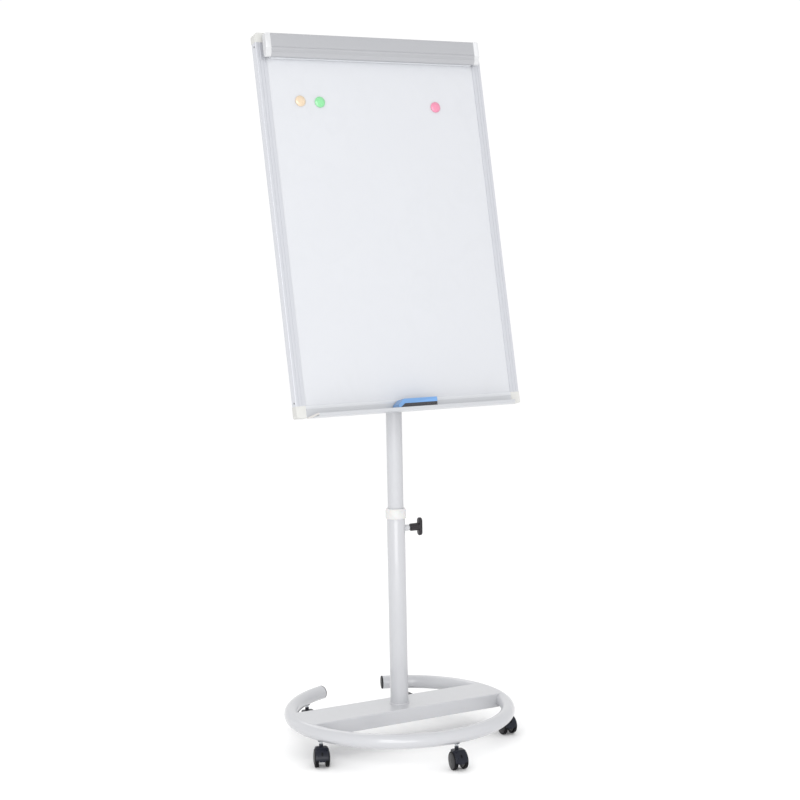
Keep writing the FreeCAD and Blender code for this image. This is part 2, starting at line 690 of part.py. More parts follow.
def make_frame():
    half_w = D.board_width / 2
    half_h = D.board_height / 2
    side_start = -half_h + D.frame_bottom_face
    side_length = D.board_height - D.frame_bottom_face - D.frame_top_face
    for label, sign in (("frame_right", 1), ("frame_left", -1)):
        section = member_section(half_w, D.frame_face, lambda a, y, s=sign: (a * s, y))
        make_member(label, "XY_Plane", section, side_start, side_length,
                    lambda e, s=sign: straight_edge(e, AXIS_Z, x=half_w * s))
    cross_start = -half_w + D.frame_face
    cross_length = D.board_width - D.frame_face * 2
    for label, sign, face in (("frame_top", 1, D.frame_top_face), ("frame_bottom", -1, D.frame_bottom_face)):
        section = member_section(half_h, face, lambda a, y, s=sign: (y, a * s))
        make_member(label, "YZ_Plane", section, cross_start, cross_length,
                    lambda e, s=sign: straight_edge(e, AXIS_X, z=half_h * s))


def make_corner_caps():
    half_w = D.board_width / 2
    half_h = D.board_height / 2
    proud = D.cap_proud
    caps = []
    for side in (1, -1):
        for end, face, radius in ((1, D.frame_top_face, D.cap_top_radius),
                                  (-1, D.frame_bottom_face, D.cap_bottom_radius)):
            outer_u = half_w + proud
            outer_v = half_h + proud
            inner_u = half_w - D.frame_face
            inner_v = half_h - face
            points = [(inner_u * side, inner_v * end), (outer_u * side, inner_v * end),
                      (outer_u * side, outer_v * end), (inner_u * side, outer_v * end)]
            depth = D.frame_depth + proud * 2
            body = pad("XZ_Plane", points, -(D.frame_depth + proud), depth)
            fillet(body, radius, lambda e, a=outer_u * side, b=outer_v * end:
                   straight_edge(e, AXIS_Y, x=a, z=b))
            fillet(body, 1.0, lambda e:
                   on_plane(e, "y", -num(proud)) or on_plane(e, "y", num(depth - proud)))
            body.Placement = BOARD
            reach_u = D.frame_face - D.panel_edge + 0.3
            reach_v = face - D.panel_edge + 0.3
            low_u = inner_u if side > 0 else -(inner_u + reach_u)
            low_v = inner_v if end > 0 else -(inner_v + reach_v)
            panel_space = box(reach_u, D.panel_back + 0.2, reach_v,
                              (low_u, D.frame_skin - 0.1, low_v), BOARD)
            caps.append(cut(body, panel_space))
    node(group(*caps), "corner_caps")


def on_plane(edge, axis, value):
    """True when an edge lies wholly in a plane square to one axis."""
    return all(abs(getattr(vertex.Point, axis) - value) < 0.01 for vertex in edge.Vertexes)


def make_panel():
    half_u = D.board_width / 2 - D.panel_edge
    half_v = D.board_height / 2 - D.panel_edge
    front = D.frame_skin
    thin = D.sheet_thickness
    back = D.panel_back
    corner = (-half_u, front, -half_v)
    node(box(half_u * 2, thin, half_v * 2, corner, BOARD), "writing_sheet")
    core_front = front + thin
    core_depth = back - thin - core_front
    core = box(half_u * 2, core_depth, half_v * 2, (-half_u, core_front, -half_v), BOARD)
    node(cut(core, *rear_drills(2.0, 9.0, back - 8.0)), "panel_core")
    rear = box(half_u * 2, thin, half_v * 2, (-half_u, back - thin, -half_v), BOARD)
    node(cut(rear, *rear_drills(2.0, 9.0, back - 8.0)), "back_sheet")


def make_tray():
    wall = D.tray_wall
    low = D.tray_bottom
    floor = low + wall
    lip = D.tray_reach
    rib = floor + D.tray_rib
    section = [(0.0, D.tray_back_top), (0.0, low), (-lip, low), (-lip, D.tray_lip_top),
               (-(lip - wall), D.tray_lip_top), (-(lip - wall), floor)]
    for rib_w in (34.0, 12.0):
        section += [(-(rib_w + 1.6), floor), (-(rib_w + 1.6), rib), (-rib_w, rib), (-rib_w, floor)]
    section += [(-wall, floor), (-wall, D.tray_back_top)]
    body = pad("YZ_Plane", section, -D.tray_half, D.tray_half * 2)
    fillet(body, 1.2, lambda e: straight_edge(e, AXIS_X, y=-lip, z=low))
    body.Placement = BOARD
    near = wall + 0.4
    height = 60.0
    trims = []
    for side in (1, -1):
        points = [(D.tray_half * side, -near), ((D.tray_half + 20.0) * side, -near),
                  ((D.tray_half + 20.0) * side, -(lip + 8.0)),
                  ((D.tray_front_half - 2.8) * side, -(lip + 8.0)),
                  (D.tray_front_half * side, -lip)]
        trim = pad("XY_Plane", points, low - 5.0, height)
        trim.Placement = BOARD
        trims.append(trim)
    node(cut(body, *trims), "pen_tray")
    caps = []
    for side in (1, -1):
        edge_near = D.tray_half + 0.1
        edge_far = D.tray_front_half + 0.1
        points = [(edge_near * side, -near), ((edge_near + 2.2) * side, -near),
                  ((edge_far + 2.2) * side, -(lip + 0.6)), (edge_far * side, -(lip + 0.6))]
        cap = pad("XY_Plane", points, low - 5.0, 30.0)
        cap.Placement = BOARD
        front = -(lip + 0.6)
        blade = [(-near, low - 0.4), (-20.0, low - 0.4), (front, low + 6.0),
                 (front, D.tray_lip_top + 0.6), (-near, low + 2.8)]
        slope = pad("YZ_Plane", blade, -(D.tray_half + 20.0), (D.tray_half + 20.0) * 2)
        slope.Placement = BOARD
        caps.append(common(cap, slope))
    node(group(*caps), "tray_end_caps")


# ---------------------------------------------------------------- paper clamp
def clamp_outline():
    """Outside of the clamp rail, as (y, v) points from its top back edge round to its lip."""
    top = D.clamp_top
    front = D.clamp_front
    return [(-D.clamp_back, top), (-(front - 2.5), top), (-(front - 0.7), top - 0.7),
            (-front, top - 2.5), (-front, top - 36.5), (-(front - 0.9), top - 37.3),
            (-(front - 0.9), top - 38.7), (-front, top - 39.5), (-front, top - 42.5),
            (-(front - 1.6), top - 44.5), (-(front - 2.9), top - 50.5), (-(front - 2.6), top - 52.5),
            (-(front - 4.2), top - 56.0), (-(front - 9.0), D.clamp_bottom + 1.0),
            (-(front - 11.0), D.clamp_bottom)]


def make_clamp():
    frame_top_start = D.board_height / 2 - D.frame_top_face
    wall = D.clamp_wall
    top = D.clamp_top
    front = D.clamp_front
    low = D.clamp_bottom
    inside = [(-D.clamp_pivot_w, low), (-D.clamp_pivot_w, low + wall),
              (-(front - 11.6), low + wall), (-(front - 10.0), low + 3.2),
              (-(front - 5.8), top - 55.6), (-(front - 4.6), top - 51.0),
              (-(front - 3.2), top - 44.0), (-(front - 2.6), top - 36.0),
              (-(front - wall), top - 34.0), (-(front - wall), top - wall), (-D.clamp_back, top - wall)]
    rail = pad("YZ_Plane", clamp_outline() + inside, -D.clamp_half, D.clamp_half * 2)
    node(rail, "clamp_rail", BOARD)
    closed = clamp_outline() + [(-D.clamp_pivot_w, low), (-D.clamp_back, low + 10.0)]
    pin_depth = 13.0
    caps = []
    for side in (1, -1):
        start = D.clamp_half + 0.1 if side > 0 else -(D.clamp_half + 0.1 + D.clamp_cap)
        cap = pad("YZ_Plane", closed, start, D.clamp_cap)
        fillet(cap, 3.5, lambda e, a=(D.clamp_half + 0.1 + D.clamp_cap) * side:
               on_plane(e, "x", num(a)) and on_plane(e, "z", num(top)))
        cap.Placement = BOARD
        mouth = along((D.clamp_half - 1.0) * side, -D.clamp_pivot_w, D.clamp_pivot_v, V(side, 0, 0))
        hole = cylinder(D.clamp_pin_radius + D.running_gap, pin_depth + 1.5, BOARD * mouth)
        caps.append(cut(cap, hole))
    node(group(*caps), "clamp_end_caps")
    strip = [(-(D.clamp_pivot_w - 0.1), low + 0.4), (-(D.clamp_pivot_w - 0.1), low + 7.0),
             (-2.0, low + 7.0), (D.frame_skin - 0.3, low + 5.4), (D.frame_skin - 0.3, low + 2.6),
             (-2.0, low + 0.4)]
    node(pad("YZ_Plane", strip, -(D.clamp_half - 4.0), D.clamp_half * 2 - 8.0), "clamp_grip", BOARD)
    lugs = []
    coils = []
    for side in (1, -1):
        inner_u = 305.0
        low_u = inner_u if side > 0 else -(inner_u + 3.0)
        blade = box(3.0, D.clamp_pivot_w, 8.6, (low_u, -D.clamp_pivot_w, frame_top_start), BOARD)
        outward = V(side, 0, 0)
        pivot = BOARD * along(inner_u * side, -D.clamp_pivot_w, D.clamp_pivot_v, outward)
        eye = cylinder(6.5, 3.0, pivot)
        pin = cylinder(D.clamp_pin_radius, D.clamp_half + pin_depth - 0.5 - inner_u, pivot)
        foot_u = inner_u - 17.0 if side > 0 else -(inner_u + 3.0)
        foot = box(20.0, 2.0, 8.6, (foot_u, -2.0, frame_top_start), BOARD)
        lugs.append(fuse(blade, eye, pin, foot))
        coil_at = BOARD * along((inner_u + 3.6) * side, -D.clamp_pivot_w, D.clamp_pivot_v, outward)
        coils.append(ring_solid(4.8, D.clamp_pin_radius + 0.4, 7.6, coil_at))
    node(group(*lugs), "clamp_hinge_lugs")
    node(group(*coils), "clamp_springs")


# ---------------------------------------------------------------- loose pieces on the board
MAGNETS = [("magnet_orange", -235.0, 340.0), ("magnet_green", -176.5, 338.4), ("magnet_pink", 185.7, 332.4)]
ERASER_U = -2.5


def make_magnets():
    for label, u, v in MAGNETS:
        spot = BOARD * along(u, D.frame_skin - 0.02, v, -AXIS_Y)
        disc = cylinder(D.magnet_radius, D.magnet_height, spot)
        ball = doc.addObject("Part::Sphere", "Dome")
        crown = 5.0
        ball.Radius = (num(D.magnet_radius) ** 2 + crown ** 2) / (2.0 * crown)
        ball.Placement = spot * at(0, 0, D.magnet_height - ball.Radius.Value)
        node(common(disc, ball), label)


def make_eraser():
    rest = D.tray_bottom + D.tray_wall + D.tray_rib + 0.02
    top = rest + 28.2
    seam = rest + 15.4
    back = 43.2
    depth = 38.0
    case = [(ERASER_U - 42.0, top), (ERASER_U + 59.2, top), (ERASER_U + 60.0, top - 0.8),
            (ERASER_U + 60.0, seam), (ERASER_U - 41.5, seam), (ERASER_U - 54.0, seam - 9.5),
            (ERASER_U - 55.0, rest), (ERASER_U - 59.4, rest), (ERASER_U - 60.0, rest + 12.0),
            (ERASER_U - 58.6, top - 13.6), (ERASER_U - 45.4, top - 1.4)]
    body = pad("XZ_Plane", case, back - depth, depth)
    node(body, "eraser_case", BOARD)
    felt = [(ERASER_U + 59.4, rest), (ERASER_U + 59.4, seam - 0.1), (ERASER_U - 41.5, seam - 0.1),
            (ERASER_U - 53.9, seam - 9.6), (ERASER_U - 54.8, rest)]
    node(pad("XZ_Plane", felt, back - depth + 0.6, depth - 1.2), "eraser_felt", BOARD)


# ---------------------------------------------------------------- build, test, write
make_ring()
make_channel()
make_end_plugs()
make_column_foot()
make_lower_tube()
make_collar()
make_stems()
make_casters()
make_column_lock()
make_mast()
make_bracket()
make_tilt_lock()
make_frame()
make_corner_caps()
make_panel()
make_tray()
make_clamp()
make_magnets()
make_eraser()
doc.recompute()

for item in doc.Objects:
    if "Invalid" in item.State or "Error" in item.State:
        raise RuntimeError("%s (%s) did not rebuild: %s" % (item.Name, item.Label, item.State))

os.makedirs("parts", exist_ok=True)
for feature in NODES:
    shape = feature.Shape
    if shape.isNull() or not shape.isValid() or not shape.Solids:
        raise RuntimeError("%s has no valid solid" % feature.Label)
    shape.exportStep("parts/%s.step" % feature.Label)
    extent = shape.BoundBox
    print("%-28s %2d solids %10.1f mm3  x %7.1f %7.1f  y %7.1f %7.1f  z %7.1f %7.1f" % (
        feature.Label, len(shape.Solids), shape.Volume, extent.XMin, extent.XMax,
        extent.YMin, extent.YMax, extent.ZMin, extent.ZMax))
print("%d nodes" % len(NODES))
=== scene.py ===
import math
import random

import bmesh
import bpy
from mathutils import Matrix, Vector


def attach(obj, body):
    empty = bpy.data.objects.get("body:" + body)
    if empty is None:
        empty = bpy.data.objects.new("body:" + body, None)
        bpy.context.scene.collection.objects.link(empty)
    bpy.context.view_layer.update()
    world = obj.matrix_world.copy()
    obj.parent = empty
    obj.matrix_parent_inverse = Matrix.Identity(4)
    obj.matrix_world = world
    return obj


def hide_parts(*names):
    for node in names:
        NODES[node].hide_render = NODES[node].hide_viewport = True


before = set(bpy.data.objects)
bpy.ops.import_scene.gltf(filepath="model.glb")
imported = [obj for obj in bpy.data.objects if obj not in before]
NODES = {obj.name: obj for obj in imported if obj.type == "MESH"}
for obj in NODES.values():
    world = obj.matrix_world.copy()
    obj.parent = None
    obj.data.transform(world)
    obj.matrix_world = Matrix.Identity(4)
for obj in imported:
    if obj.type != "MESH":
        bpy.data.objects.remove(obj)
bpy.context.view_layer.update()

MM = 0.001
LEVEL = 0.70          # share of a screen colour that shows as that colour in the full studio light
MIX_A, MIX_B, MIX_RESULT = 6, 7, 2      # the colour sockets of a Mix node


# ---------------------------------------------------------------- colours and materials
def linear(code):
    """Scene-linear colour of a six-digit screen colour."""
    out = []
    for i in (0, 2, 4):
        c = int(code[i:i + 2], 16) / 255.0
        out.append(LEVEL * (c / 12.92 if c <= 0.04045 else ((c + 0.055) / 1.055) ** 2.4))
    return out


def shade(colour, factor):
    return [min(1.0, c * factor) for c in colour]


class Nodes:
    """A material's node tree with short calls for the nodes used here."""

    def __init__(self, name):
        self.material = bpy.data.materials.new(name)
        self.material.use_nodes = True
        self.tree = self.material.node_tree
        self.shader = self.tree.nodes["Principled BSDF"]
        self.coords = self.tree.nodes.new("ShaderNodeTexCoord").outputs["Object"]

    def link(self, a, b):
        self.tree.links.new(a, b)

    def scaled(self, x, y, z):
        node = self.tree.nodes.new("ShaderNodeMapping")
        node.inputs["Scale"].default_value = (x, y, z)
        self.link(self.coords, node.inputs["Vector"])
        return node.outputs["Vector"]

    def noise(self, scale, detail, rough=0.55, vector=None, distortion=0.0):
        node = self.tree.nodes.new("ShaderNodeTexNoise")
        node.inputs["Scale"].default_value = scale
        node.inputs["Detail"].default_value = detail
        node.inputs["Roughness"].default_value = rough
        node.inputs["Distortion"].default_value = distortion
        self.link(vector or self.coords, node.inputs["Vector"])
        return node.outputs["Fac"]

    def cells(self, scale):
        node = self.tree.nodes.new("ShaderNodeTexVoronoi")
        node.inputs["Scale"].default_value = scale
        self.link(self.coords, node.inputs["Vector"])
        return node.outputs["Distance"]

    def span(self, value, low, high, to_low, to_high):
        """The value carried over from one range to another."""
        node = self.tree.nodes.new("ShaderNodeMapRange")
        for name, number in (("From Min", low), ("From Max", high), ("To Min", to_low), ("To Max", to_high)):
            node.inputs[name].default_value = number
        self.link(value, node.inputs["Value"])
        return node.outputs["Result"]

    def mix(self, fac, a, b):
        """Colour a turning into colour b as fac goes from 0 to 1. Each is a colour or a socket."""
        node = self.tree.nodes.new("ShaderNodeMix")
        node.data_type = "RGBA"
        self.link(fac, node.inputs["Factor"])
        for socket, value in ((node.inputs[MIX_A], a), (node.inputs[MIX_B], b)):
            if isinstance(value, (list, tuple)):
                socket.default_value = (*value, 1.0)
            else:
                self.link(value, socket)
        return node.outputs[MIX_RESULT]

    def add(self, a, b, weight):
        """The sum a + b * weight."""
        node = self.tree.nodes.new("ShaderNodeMath")
        node.operation = "MULTIPLY_ADD"
        self.link(b, node.inputs[0])
        node.inputs[1].default_value = weight
        self.link(a, node.inputs[2])
        return node.outputs[0]

    def bump(self, height, strength, distance):
        node = self.tree.nodes.new("ShaderNodeBump")
        node.inputs["Strength"].default_value = strength
        node.inputs["Distance"].default_value = distance
        self.link(height, node.inputs["Height"])
        self.link(node.outputs["Normal"], self.shader.inputs["Normal"])

    def edges(self, low=0.505, high=0.56):
        """About 1 on convex edges, 0 elsewhere."""
        geometry = self.tree.nodes.new("ShaderNodeNewGeometry")
        return self.span(geometry.outputs["Pointiness"], low, high, 0.0, 1.0)

    def set(self, **values):
        names = {"metallic": "Metallic", "coat": "Coat Weight", "coat_rough": "Coat Roughness",
                 "specular": "Specular IOR Level", "sheen": "Sheen Weight", "sheen_rough": "Sheen Roughness",
                 "subsurface": "Subsurface Weight", "subsurface_scale": "Subsurface Scale"}
        for key, value in values.items():
            self.shader.inputs[names[key]].default_value = value


def moulded(name, colour, rough, bump=0.04, scale=2600.0, **extra):
    """Moulded plastic: fine spark-eroded texture, faint flow variation, paler convex edges that are partly
    rubbed wear and partly a painted edge highlight.
    """
    n = Nodes(name)
    flow = n.noise(26.0, 4.0, 0.6, distortion=0.6)
    fine = n.cells(scale)
    base = n.mix(n.span(flow, 0.3, 0.7, 0.0, 1.0), shade(colour, 0.95), shade(colour, 1.05))
    # Convex edges painted paler: partly rubbed wear, partly a painted edge highlight.
    n.link(n.mix(n.edges(), base, shade(colour, 1.25)), n.shader.inputs["Base Color"])
    smear = n.noise(60.0, 5.0, 0.65)
    n.link(n.span(smear, 0.3, 0.7, rough - 0.06, rough + 0.07), n.shader.inputs["Roughness"])
    n.bump(n.add(fine, n.noise(900.0, 2.0), 0.35), bump, 0.0004)
    n.set(**extra)
    return n.material


def powder(name, colour, rough, **extra):
    """Glossy powder coat over steel: orange-peel ripple, very faint colour drift, dust in the gloss."""
    n = Nodes(name)
    drift = n.noise(4.0, 1.0, 0.4)
    n.link(n.mix(n.span(drift, 0.3, 0.7, 0.0, 1.0), shade(colour, 0.99), shade(colour, 1.008)),
           n.shader.inputs["Base Color"])
    dust = n.noise(42.0, 6.0, 0.7)
    n.link(n.span(dust, 0.35, 0.75, rough - 0.02, rough + 0.04), n.shader.inputs["Roughness"])
    n.bump(n.noise(520.0, 2.0, 0.4), 0.02, 0.0002)
    n.set(**extra)
    return n.material


def anodised(name, colour, rough, along, **extra):
    """Anodised extrusion: die lines and satin streaks that run along one axis."""
    n = Nodes(name)
    stretch = {"x": (6.0, 900.0, 900.0), "y": (900.0, 6.0, 900.0), "z": (900.0, 900.0, 6.0)}[along]
    broad = {"x": (1.5, 160.0, 160.0), "y": (160.0, 1.5, 160.0), "z": (160.0, 160.0, 1.5)}[along]
    lines = n.noise(1.0, 3.0, 0.6, n.scaled(*stretch))
    bands = n.noise(1.0, 3.0, 0.6, n.scaled(*broad))
    cloud = n.noise(7.0, 3.0, 0.55)
    base = n.mix(n.span(bands, 0.3, 0.7, 0.0, 1.0), shade(colour, 0.975), shade(colour, 1.02))
    base = n.mix(n.span(cloud, 0.25, 0.75, 0.0, 0.3), base, shade(colour, 0.955))
    # Convex edges painted paler: partly rubbed wear, partly a painted edge highlight.
    n.link(n.mix(n.edges(0.51, 0.6), base, shade(colour, 1.15)), n.shader.inputs["Base Color"])
    n.link(n.span(lines, 0.3, 0.7, rough - 0.05, rough + 0.06), n.shader.inputs["Roughness"])
    n.bump(n.add(lines, bands, 0.6), 0.03, 0.0003)
    n.set(**extra)
    return n.material


def metal(name, colour, rough, **extra):
    """Plated or bare steel: small pits, wiped streaks, slightly cloudy reflections."""
    n = Nodes(name)
    cloud = n.noise(55.0, 5.0, 0.65)
    n.link(n.mix(n.span(cloud, 0.3, 0.7, 0.0, 1.0), shade(colour, 0.9), shade(colour, 1.06)),
           n.shader.inputs["Base Color"])
    n.link(n.span(n.noise(180.0, 4.0, 0.7), 0.3, 0.7, max(0.02, rough - 0.06), rough + 0.08),
           n.shader.inputs["Roughness"])
    n.bump(n.add(n.noise(1500.0, 3.0), n.cells(700.0), 0.4), 0.05, 0.0003)
    n.set(metallic=1.0, **extra)
    return n.material


def enamel(name, colour):
    """Lacquered steel writing face: long soft waviness, wiped streaks, ghosts of rubbed-out ink."""
    n = Nodes(name)
    wave = n.noise(5.0, 2.0, 0.4)
    wipe = n.noise(1.0, 4.0, 0.6, n.scaled(3.0, 3.0, 26.0), distortion=0.8)
    ghost = n.noise(14.0, 6.0, 0.62, distortion=1.4)
    base = n.mix(n.span(ghost, 0.46, 0.72, 0.0, 1.0), colour, shade(colour, 0.972))
    n.link(n.mix(n.span(wave, 0.2, 0.8, 0.0, 1.0), base, shade(colour, 0.99)),
           n.shader.inputs["Base Color"])
    n.link(n.span(wipe, 0.3, 0.7, 0.16, 0.25), n.shader.inputs["Roughness"])
    n.bump(n.add(wave, n.noise(700.0, 2.0), 0.02), 0.10, 0.0016)
    n.set(coat=0.25, coat_rough=0.08)
    return n.material


def felt_material(name, colour):
    """Dense wool felt: matted fibres with a soft sheen and dry ink dust."""
    n = Nodes(name)
    fibres = n.noise(900.0, 6.0, 0.75, distortion=2.2)
    clumps = n.noise(210.0, 4.0, 0.7, distortion=1.2)
    base = n.mix(n.span(fibres, 0.3, 0.7, 0.0, 1.0), shade(colour, 0.6), shade(colour, 1.7))
    n.link(n.mix(n.span(clumps, 0.45, 0.75, 0.0, 0.5), base, shade(colour, 2.2)),
           n.shader.inputs["Base Color"])
    n.link(n.span(clumps, 0.3, 0.7, 0.88, 1.0), n.shader.inputs["Roughness"])
    n.bump(n.add(fibres, clumps, 0.8), 0.8, 0.0009)
    n.set(sheen=0.5, sheen_rough=0.6, specular=0.15)
    return n.material


def board_fibre(name, colour):
    """Raw edge of fibreboard: mottled chips, no gloss."""
    n = Nodes(name)
    chips = n.cells(900.0)
    base = n.mix(n.span(n.noise(300.0, 5.0), 0.3, 0.7, 0.0, 1.0), shade(colour, 0.7), shade(colour, 1.2))
    n.link(base, n.shader.inputs["Base Color"])
    n.link(n.span(chips, 0.0, 1.0, 0.8, 0.95), n.shader.inputs["Roughness"])
    n.bump(chips, 0.4, 0.0005)
    return n.material


PAINT = linear("D5D6DA")
MATERIALS = {
    "base_paint": powder("base_powder_coat", PAINT, 0.3, coat=0.5, coat_rough=0.07),
    "mast_paint": powder("mast_powder_coat", PAINT, 0.44, coat=0.12, coat_rough=0.2),
    "bracket_paint": powder("bracket_powder_coat", linear("C2C5CA"), 0.42),
    "plug_plastic": moulded("plug_plastic", linear("28282B"), 0.5, specular=0.2),
    "collar_plastic": moulded("collar_plastic", linear("E9E9E8"), 0.38, subsurface=0.1,
                              subsurface_scale=0.002),
    "bush_plastic": moulded("bush_plastic", linear("B4B4B6"), 0.45),
    "zinc_steel": metal("zinc_steel", linear("C9CBCF"), 0.28),
    "dark_screw": metal("dark_screw", linear("3A3B40"), 0.4),
    "spring_steel": metal("spring_steel", linear("8D9098"), 0.3),
    "knob_plastic": moulded("knob_plastic", linear("2A262B"), 0.34, bump=0.06, specular=0.35),
    "stem_chrome": metal("stem_chrome", linear("DADDE2"), 0.09),
    "caster_hood_plastic": moulded("caster_hood_plastic", linear("1F222D"), 0.3, specular=0.24),
    "caster_tread_plastic": moulded("caster_tread_plastic", linear("0E0E11"), 0.46, bump=0.08,
                                    specular=0.12),
    "caster_wheel_plastic": moulded("caster_wheel_plastic", linear("38383A"), 0.36, specular=0.3),
    "frame_z": anodised("frame_anodised_upright", linear("D6D8DE"), 0.36, "z", metallic=0.45),
    # The level members get a lighter colour than the uprights, though both are the same anodised aluminium:
    # painted light that offsets the shade on them.
    "frame_x": anodised("frame_anodised_level", linear("E4E6EA"), 0.36, "x", metallic=0.45),
    "tray_x": anodised("tray_anodised", linear("D6D8DC"), 0.34, "x", metallic=0.45),
    "corner_cap_plastic": moulded("corner_cap_plastic", linear("D2D2CF"), 0.42),
    "tray_cap_plastic": moulded("tray_cap_plastic", linear("D6D3D1"), 0.35),
    "writing_enamel": enamel("writing_enamel", linear("E5E7EC")),
    "panel_fibreboard": board_fibre("panel_fibreboard", [0.45, 0.36, 0.27]),
    "back_steel": powder("back_sheet_coat", linear("C4C6C9"), 0.46),
    "clamp_aluminium": anodised("clamp_anodised", linear("C2C3C7"), 0.36, "x", metallic=0.5),
    "clamp_cap_plastic": moulded("clamp_cap_plastic", linear("DDDEE0"), 0.4),
    # The rubber strip is coloured as pale as the writing face so that the shade under the clamp reads as lit
    # board: painted light.
    "grip_rubber": moulded("grip_rubber", linear("E4E6EA"), 0.7, bump=0.2, scale=1500.0),
    "magnet_orange": moulded("magnet_orange_plastic", linear("F3DCBE"), 0.25, coat=0.2),
    "magnet_green": moulded("magnet_green_plastic", linear("98EBAA"), 0.25, coat=0.2),
    "magnet_pink": moulded("magnet_pink_plastic", linear("F89AB8"), 0.25, coat=0.2),
    "eraser_blue": moulded("eraser_blue_plastic", linear("72A0D6"), 0.34, coat=0.1),
    "eraser_felt": felt_material("eraser_felt", linear("2C2A30")),
}


# ---------------------------------------------------------------- mesh helpers
STRAIGHT = math.pi - 0.03      # a corner that opens wider than this stays as it is
EDGE_SHARE = 0.46              # the most of an edge that one arc may take up
SHARP_EDGE = 38.0              # an edge that turns by more degrees than this is shaded as sharp
BEVEL_FROM = 40                # and one that turns by more than this gets the bevel


def corner_arcs(points, radius=0.0, steps=4):
    """The outline with each corner turned into an arc. A point's third number is its own radius."""
    out = []
    count = len(points)
    for i, point in enumerate(points):
        a = Vector(points[i - 1][:2])
        b = Vector(point[:2])
        c = Vector(points[(i + 1) % count][:2])
        r = point[2] if len(point) > 2 else radius
        u, v = a - b, c - b
        if r <= 0 or u.length < 1e-9 or v.length < 1e-9:
            out.append(b)
            continue
        opening = u.angle(v)
        if opening > STRAIGHT:
            out.append(b)
            continue
        reach = min(r / math.tan(opening / 2), EDGE_SHARE * u.length, EDGE_SHARE * v.length)
        r = reach * math.tan(opening / 2)
        middle = b + (u.normalized() + v.normalized()).normalized() * (r / math.sin(opening / 2))
        start = b + u.normalized() * reach - middle
        end = b + v.normalized() * reach - middle
        sweep = math.atan2(start.x * end.y - start.y * end.x, start.dot(end))
        for k in range(steps + 1):
            s = sweep * k / steps
            out.append(middle + Vector((start.x * math.cos(s) - start.y * math.sin(s),
                                        start.x * math.sin(s) + start.y * math.cos(s))))
    return out


def bridge(bm, rings, closed=False):
    """Faces from each ring of vertices to the next one, and from the last to the first when closed."""
    count = len(rings[0])
    following = rings[1:] + rings[:1] if closed else rings[1:]
    for one, two in zip(rings, following):
        for i in range(count):
            j = (i + 1) % count
            bm.faces.new((one[i], one[j], two[j], two[i]))


def close_ends(bm, rings):
    """A face on the first ring and one on the last."""
    bm.faces.new(rings[0][::-1])
    bm.faces.new(rings[-1])


def lathe(bm, profile, place=Matrix(), segments=96, radius=None):
    """Turns a closed (radius, height) profile about the place's Z. radius(i, angle) may scale a point."""
    rings = []
    for k in range(segments):
        a = 2 * math.pi * k / segments
        ring = []
        for i, (r, z) in enumerate(profile):
            scale = radius(i, a) if radius else 1.0
            ring.append(bm.verts.new(place @ Vector((r * scale * math.cos(a), r * scale * math.sin(a), z))))
        rings.append(ring)
    bridge(bm, rings, closed=True)


def prism(bm, outline, low, high, place=Matrix()):
    """Outline (a, b) drawn out along the place's Z, from low to high, which may depend on (a, b)."""
    rings = []
    for limit in (low, high):
        ring = []
        for a, b in outline:
            height = limit(a, b) if callable(limit) else limit
            ring.append(bm.verts.new(place @ Vector((a, b, height))))
        rings.append(ring)
    bridge(bm, rings)
    close_ends(bm, rings)


def loft(bm, layers, place):
    """Skin over (height, outline) layers whose outlines have the same number of points."""
    rings = []
    for height, outline in layers:
        rings.append([bm.verts.new(place @ Vector((p[0], p[1], height))) for p in outline])
    bridge(bm, rings)
    close_ends(bm, rings)


def tube(bm, path, radius, closed=False, wobble=0.0, seed=1):
    """A round rod along a path; wobble varies its radius, as on a weld bead."""
    rng = random.Random(seed)
    sides = 8
    count = len(path)
    rings = []
    normal = None
    for k, point in enumerate(path):
        ahead = path[(k + 1) % count] if closed or k < count - 1 else path[k]
        behind = path[k - 1] if closed or k else path[k]
        direction = (ahead - behind).normalized()
        if normal is None:
            normal = direction.orthogonal().normalized()
        normal = (normal - direction * normal.dot(direction)).normalized()
        other = direction.cross(normal)
        r = radius * (1.0 + wobble * (math.sin(k * 1.7) * 0.6 + rng.uniform(-0.4, 0.4)))
        rings.append([bm.verts.new(point + (normal * math.cos(a) + other * math.sin(a)) * r)
                      for a in (2 * math.pi * i / sides for i in range(sides))])
    bridge(bm, rings, closed)
    if not closed:
        close_ends(bm, rings)


def to_mesh(bm, name):
    """The bmesh as a smooth-shaded mesh, with the edges above an angle kept sharp."""
    bmesh.ops.remove_doubles(bm, verts=bm.verts, dist=1e-7)
    bmesh.ops.dissolve_degenerate(bm, edges=bm.edges, dist=1e-8)
    bmesh.ops.recalc_face_normals(bm, faces=bm.faces)
    limit = math.radians(SHARP_EDGE)
    for edge in bm.edges:
        if len(edge.link_faces) == 2:
            edge.smooth = edge.calc_face_angle(0.0) < limit
    for face in bm.faces:
        face.smooth = True
    mesh = bpy.data.meshes.new(name)
    bm.to_mesh(mesh)
    bm.free()
    return mesh


def piece(name, mesh, body, slot_name, stands_for=(), place=Matrix(), bevel=0.0, segments=2):
    """Puts a mesh in the scene on a body, with its material, and hides the nodes it stands for."""
    if isinstance(mesh, bmesh.types.BMesh):
        mesh = to_mesh(mesh, name)
    obj = bpy.data.objects.new(name, mesh)
    bpy.context.scene.collection.objects.link(obj)
    obj.matrix_world = place
    if not mesh.materials:
        mesh.materials.append(MATERIALS[slot_name])
    if bevel:
        modifier = obj.modifiers.new("edge_radius", "BEVEL")
        modifier.width = bevel
        modifier.segments = segments
        modifier.limit_method = "ANGLE"
        modifier.angle_limit = math.radians(BEVEL_FROM)
        modifier.harden_normals = True
    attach(obj, body)
    if stands_for:
        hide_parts(*stands_for)
    return obj


def mm(points):
    """Millimetre points as metres; a third number is a corner radius."""
    return [tuple(c * MM for c in p) for p in points]


def spot(x, y, z):
    """A shift by millimetres."""
    return Matrix.Translation(Vector((x, y, z)) * MM)


def turned(axis, angle):
    """A turn about an axis, by degrees."""
    return Matrix.Rotation(math.radians(angle), 4, axis)


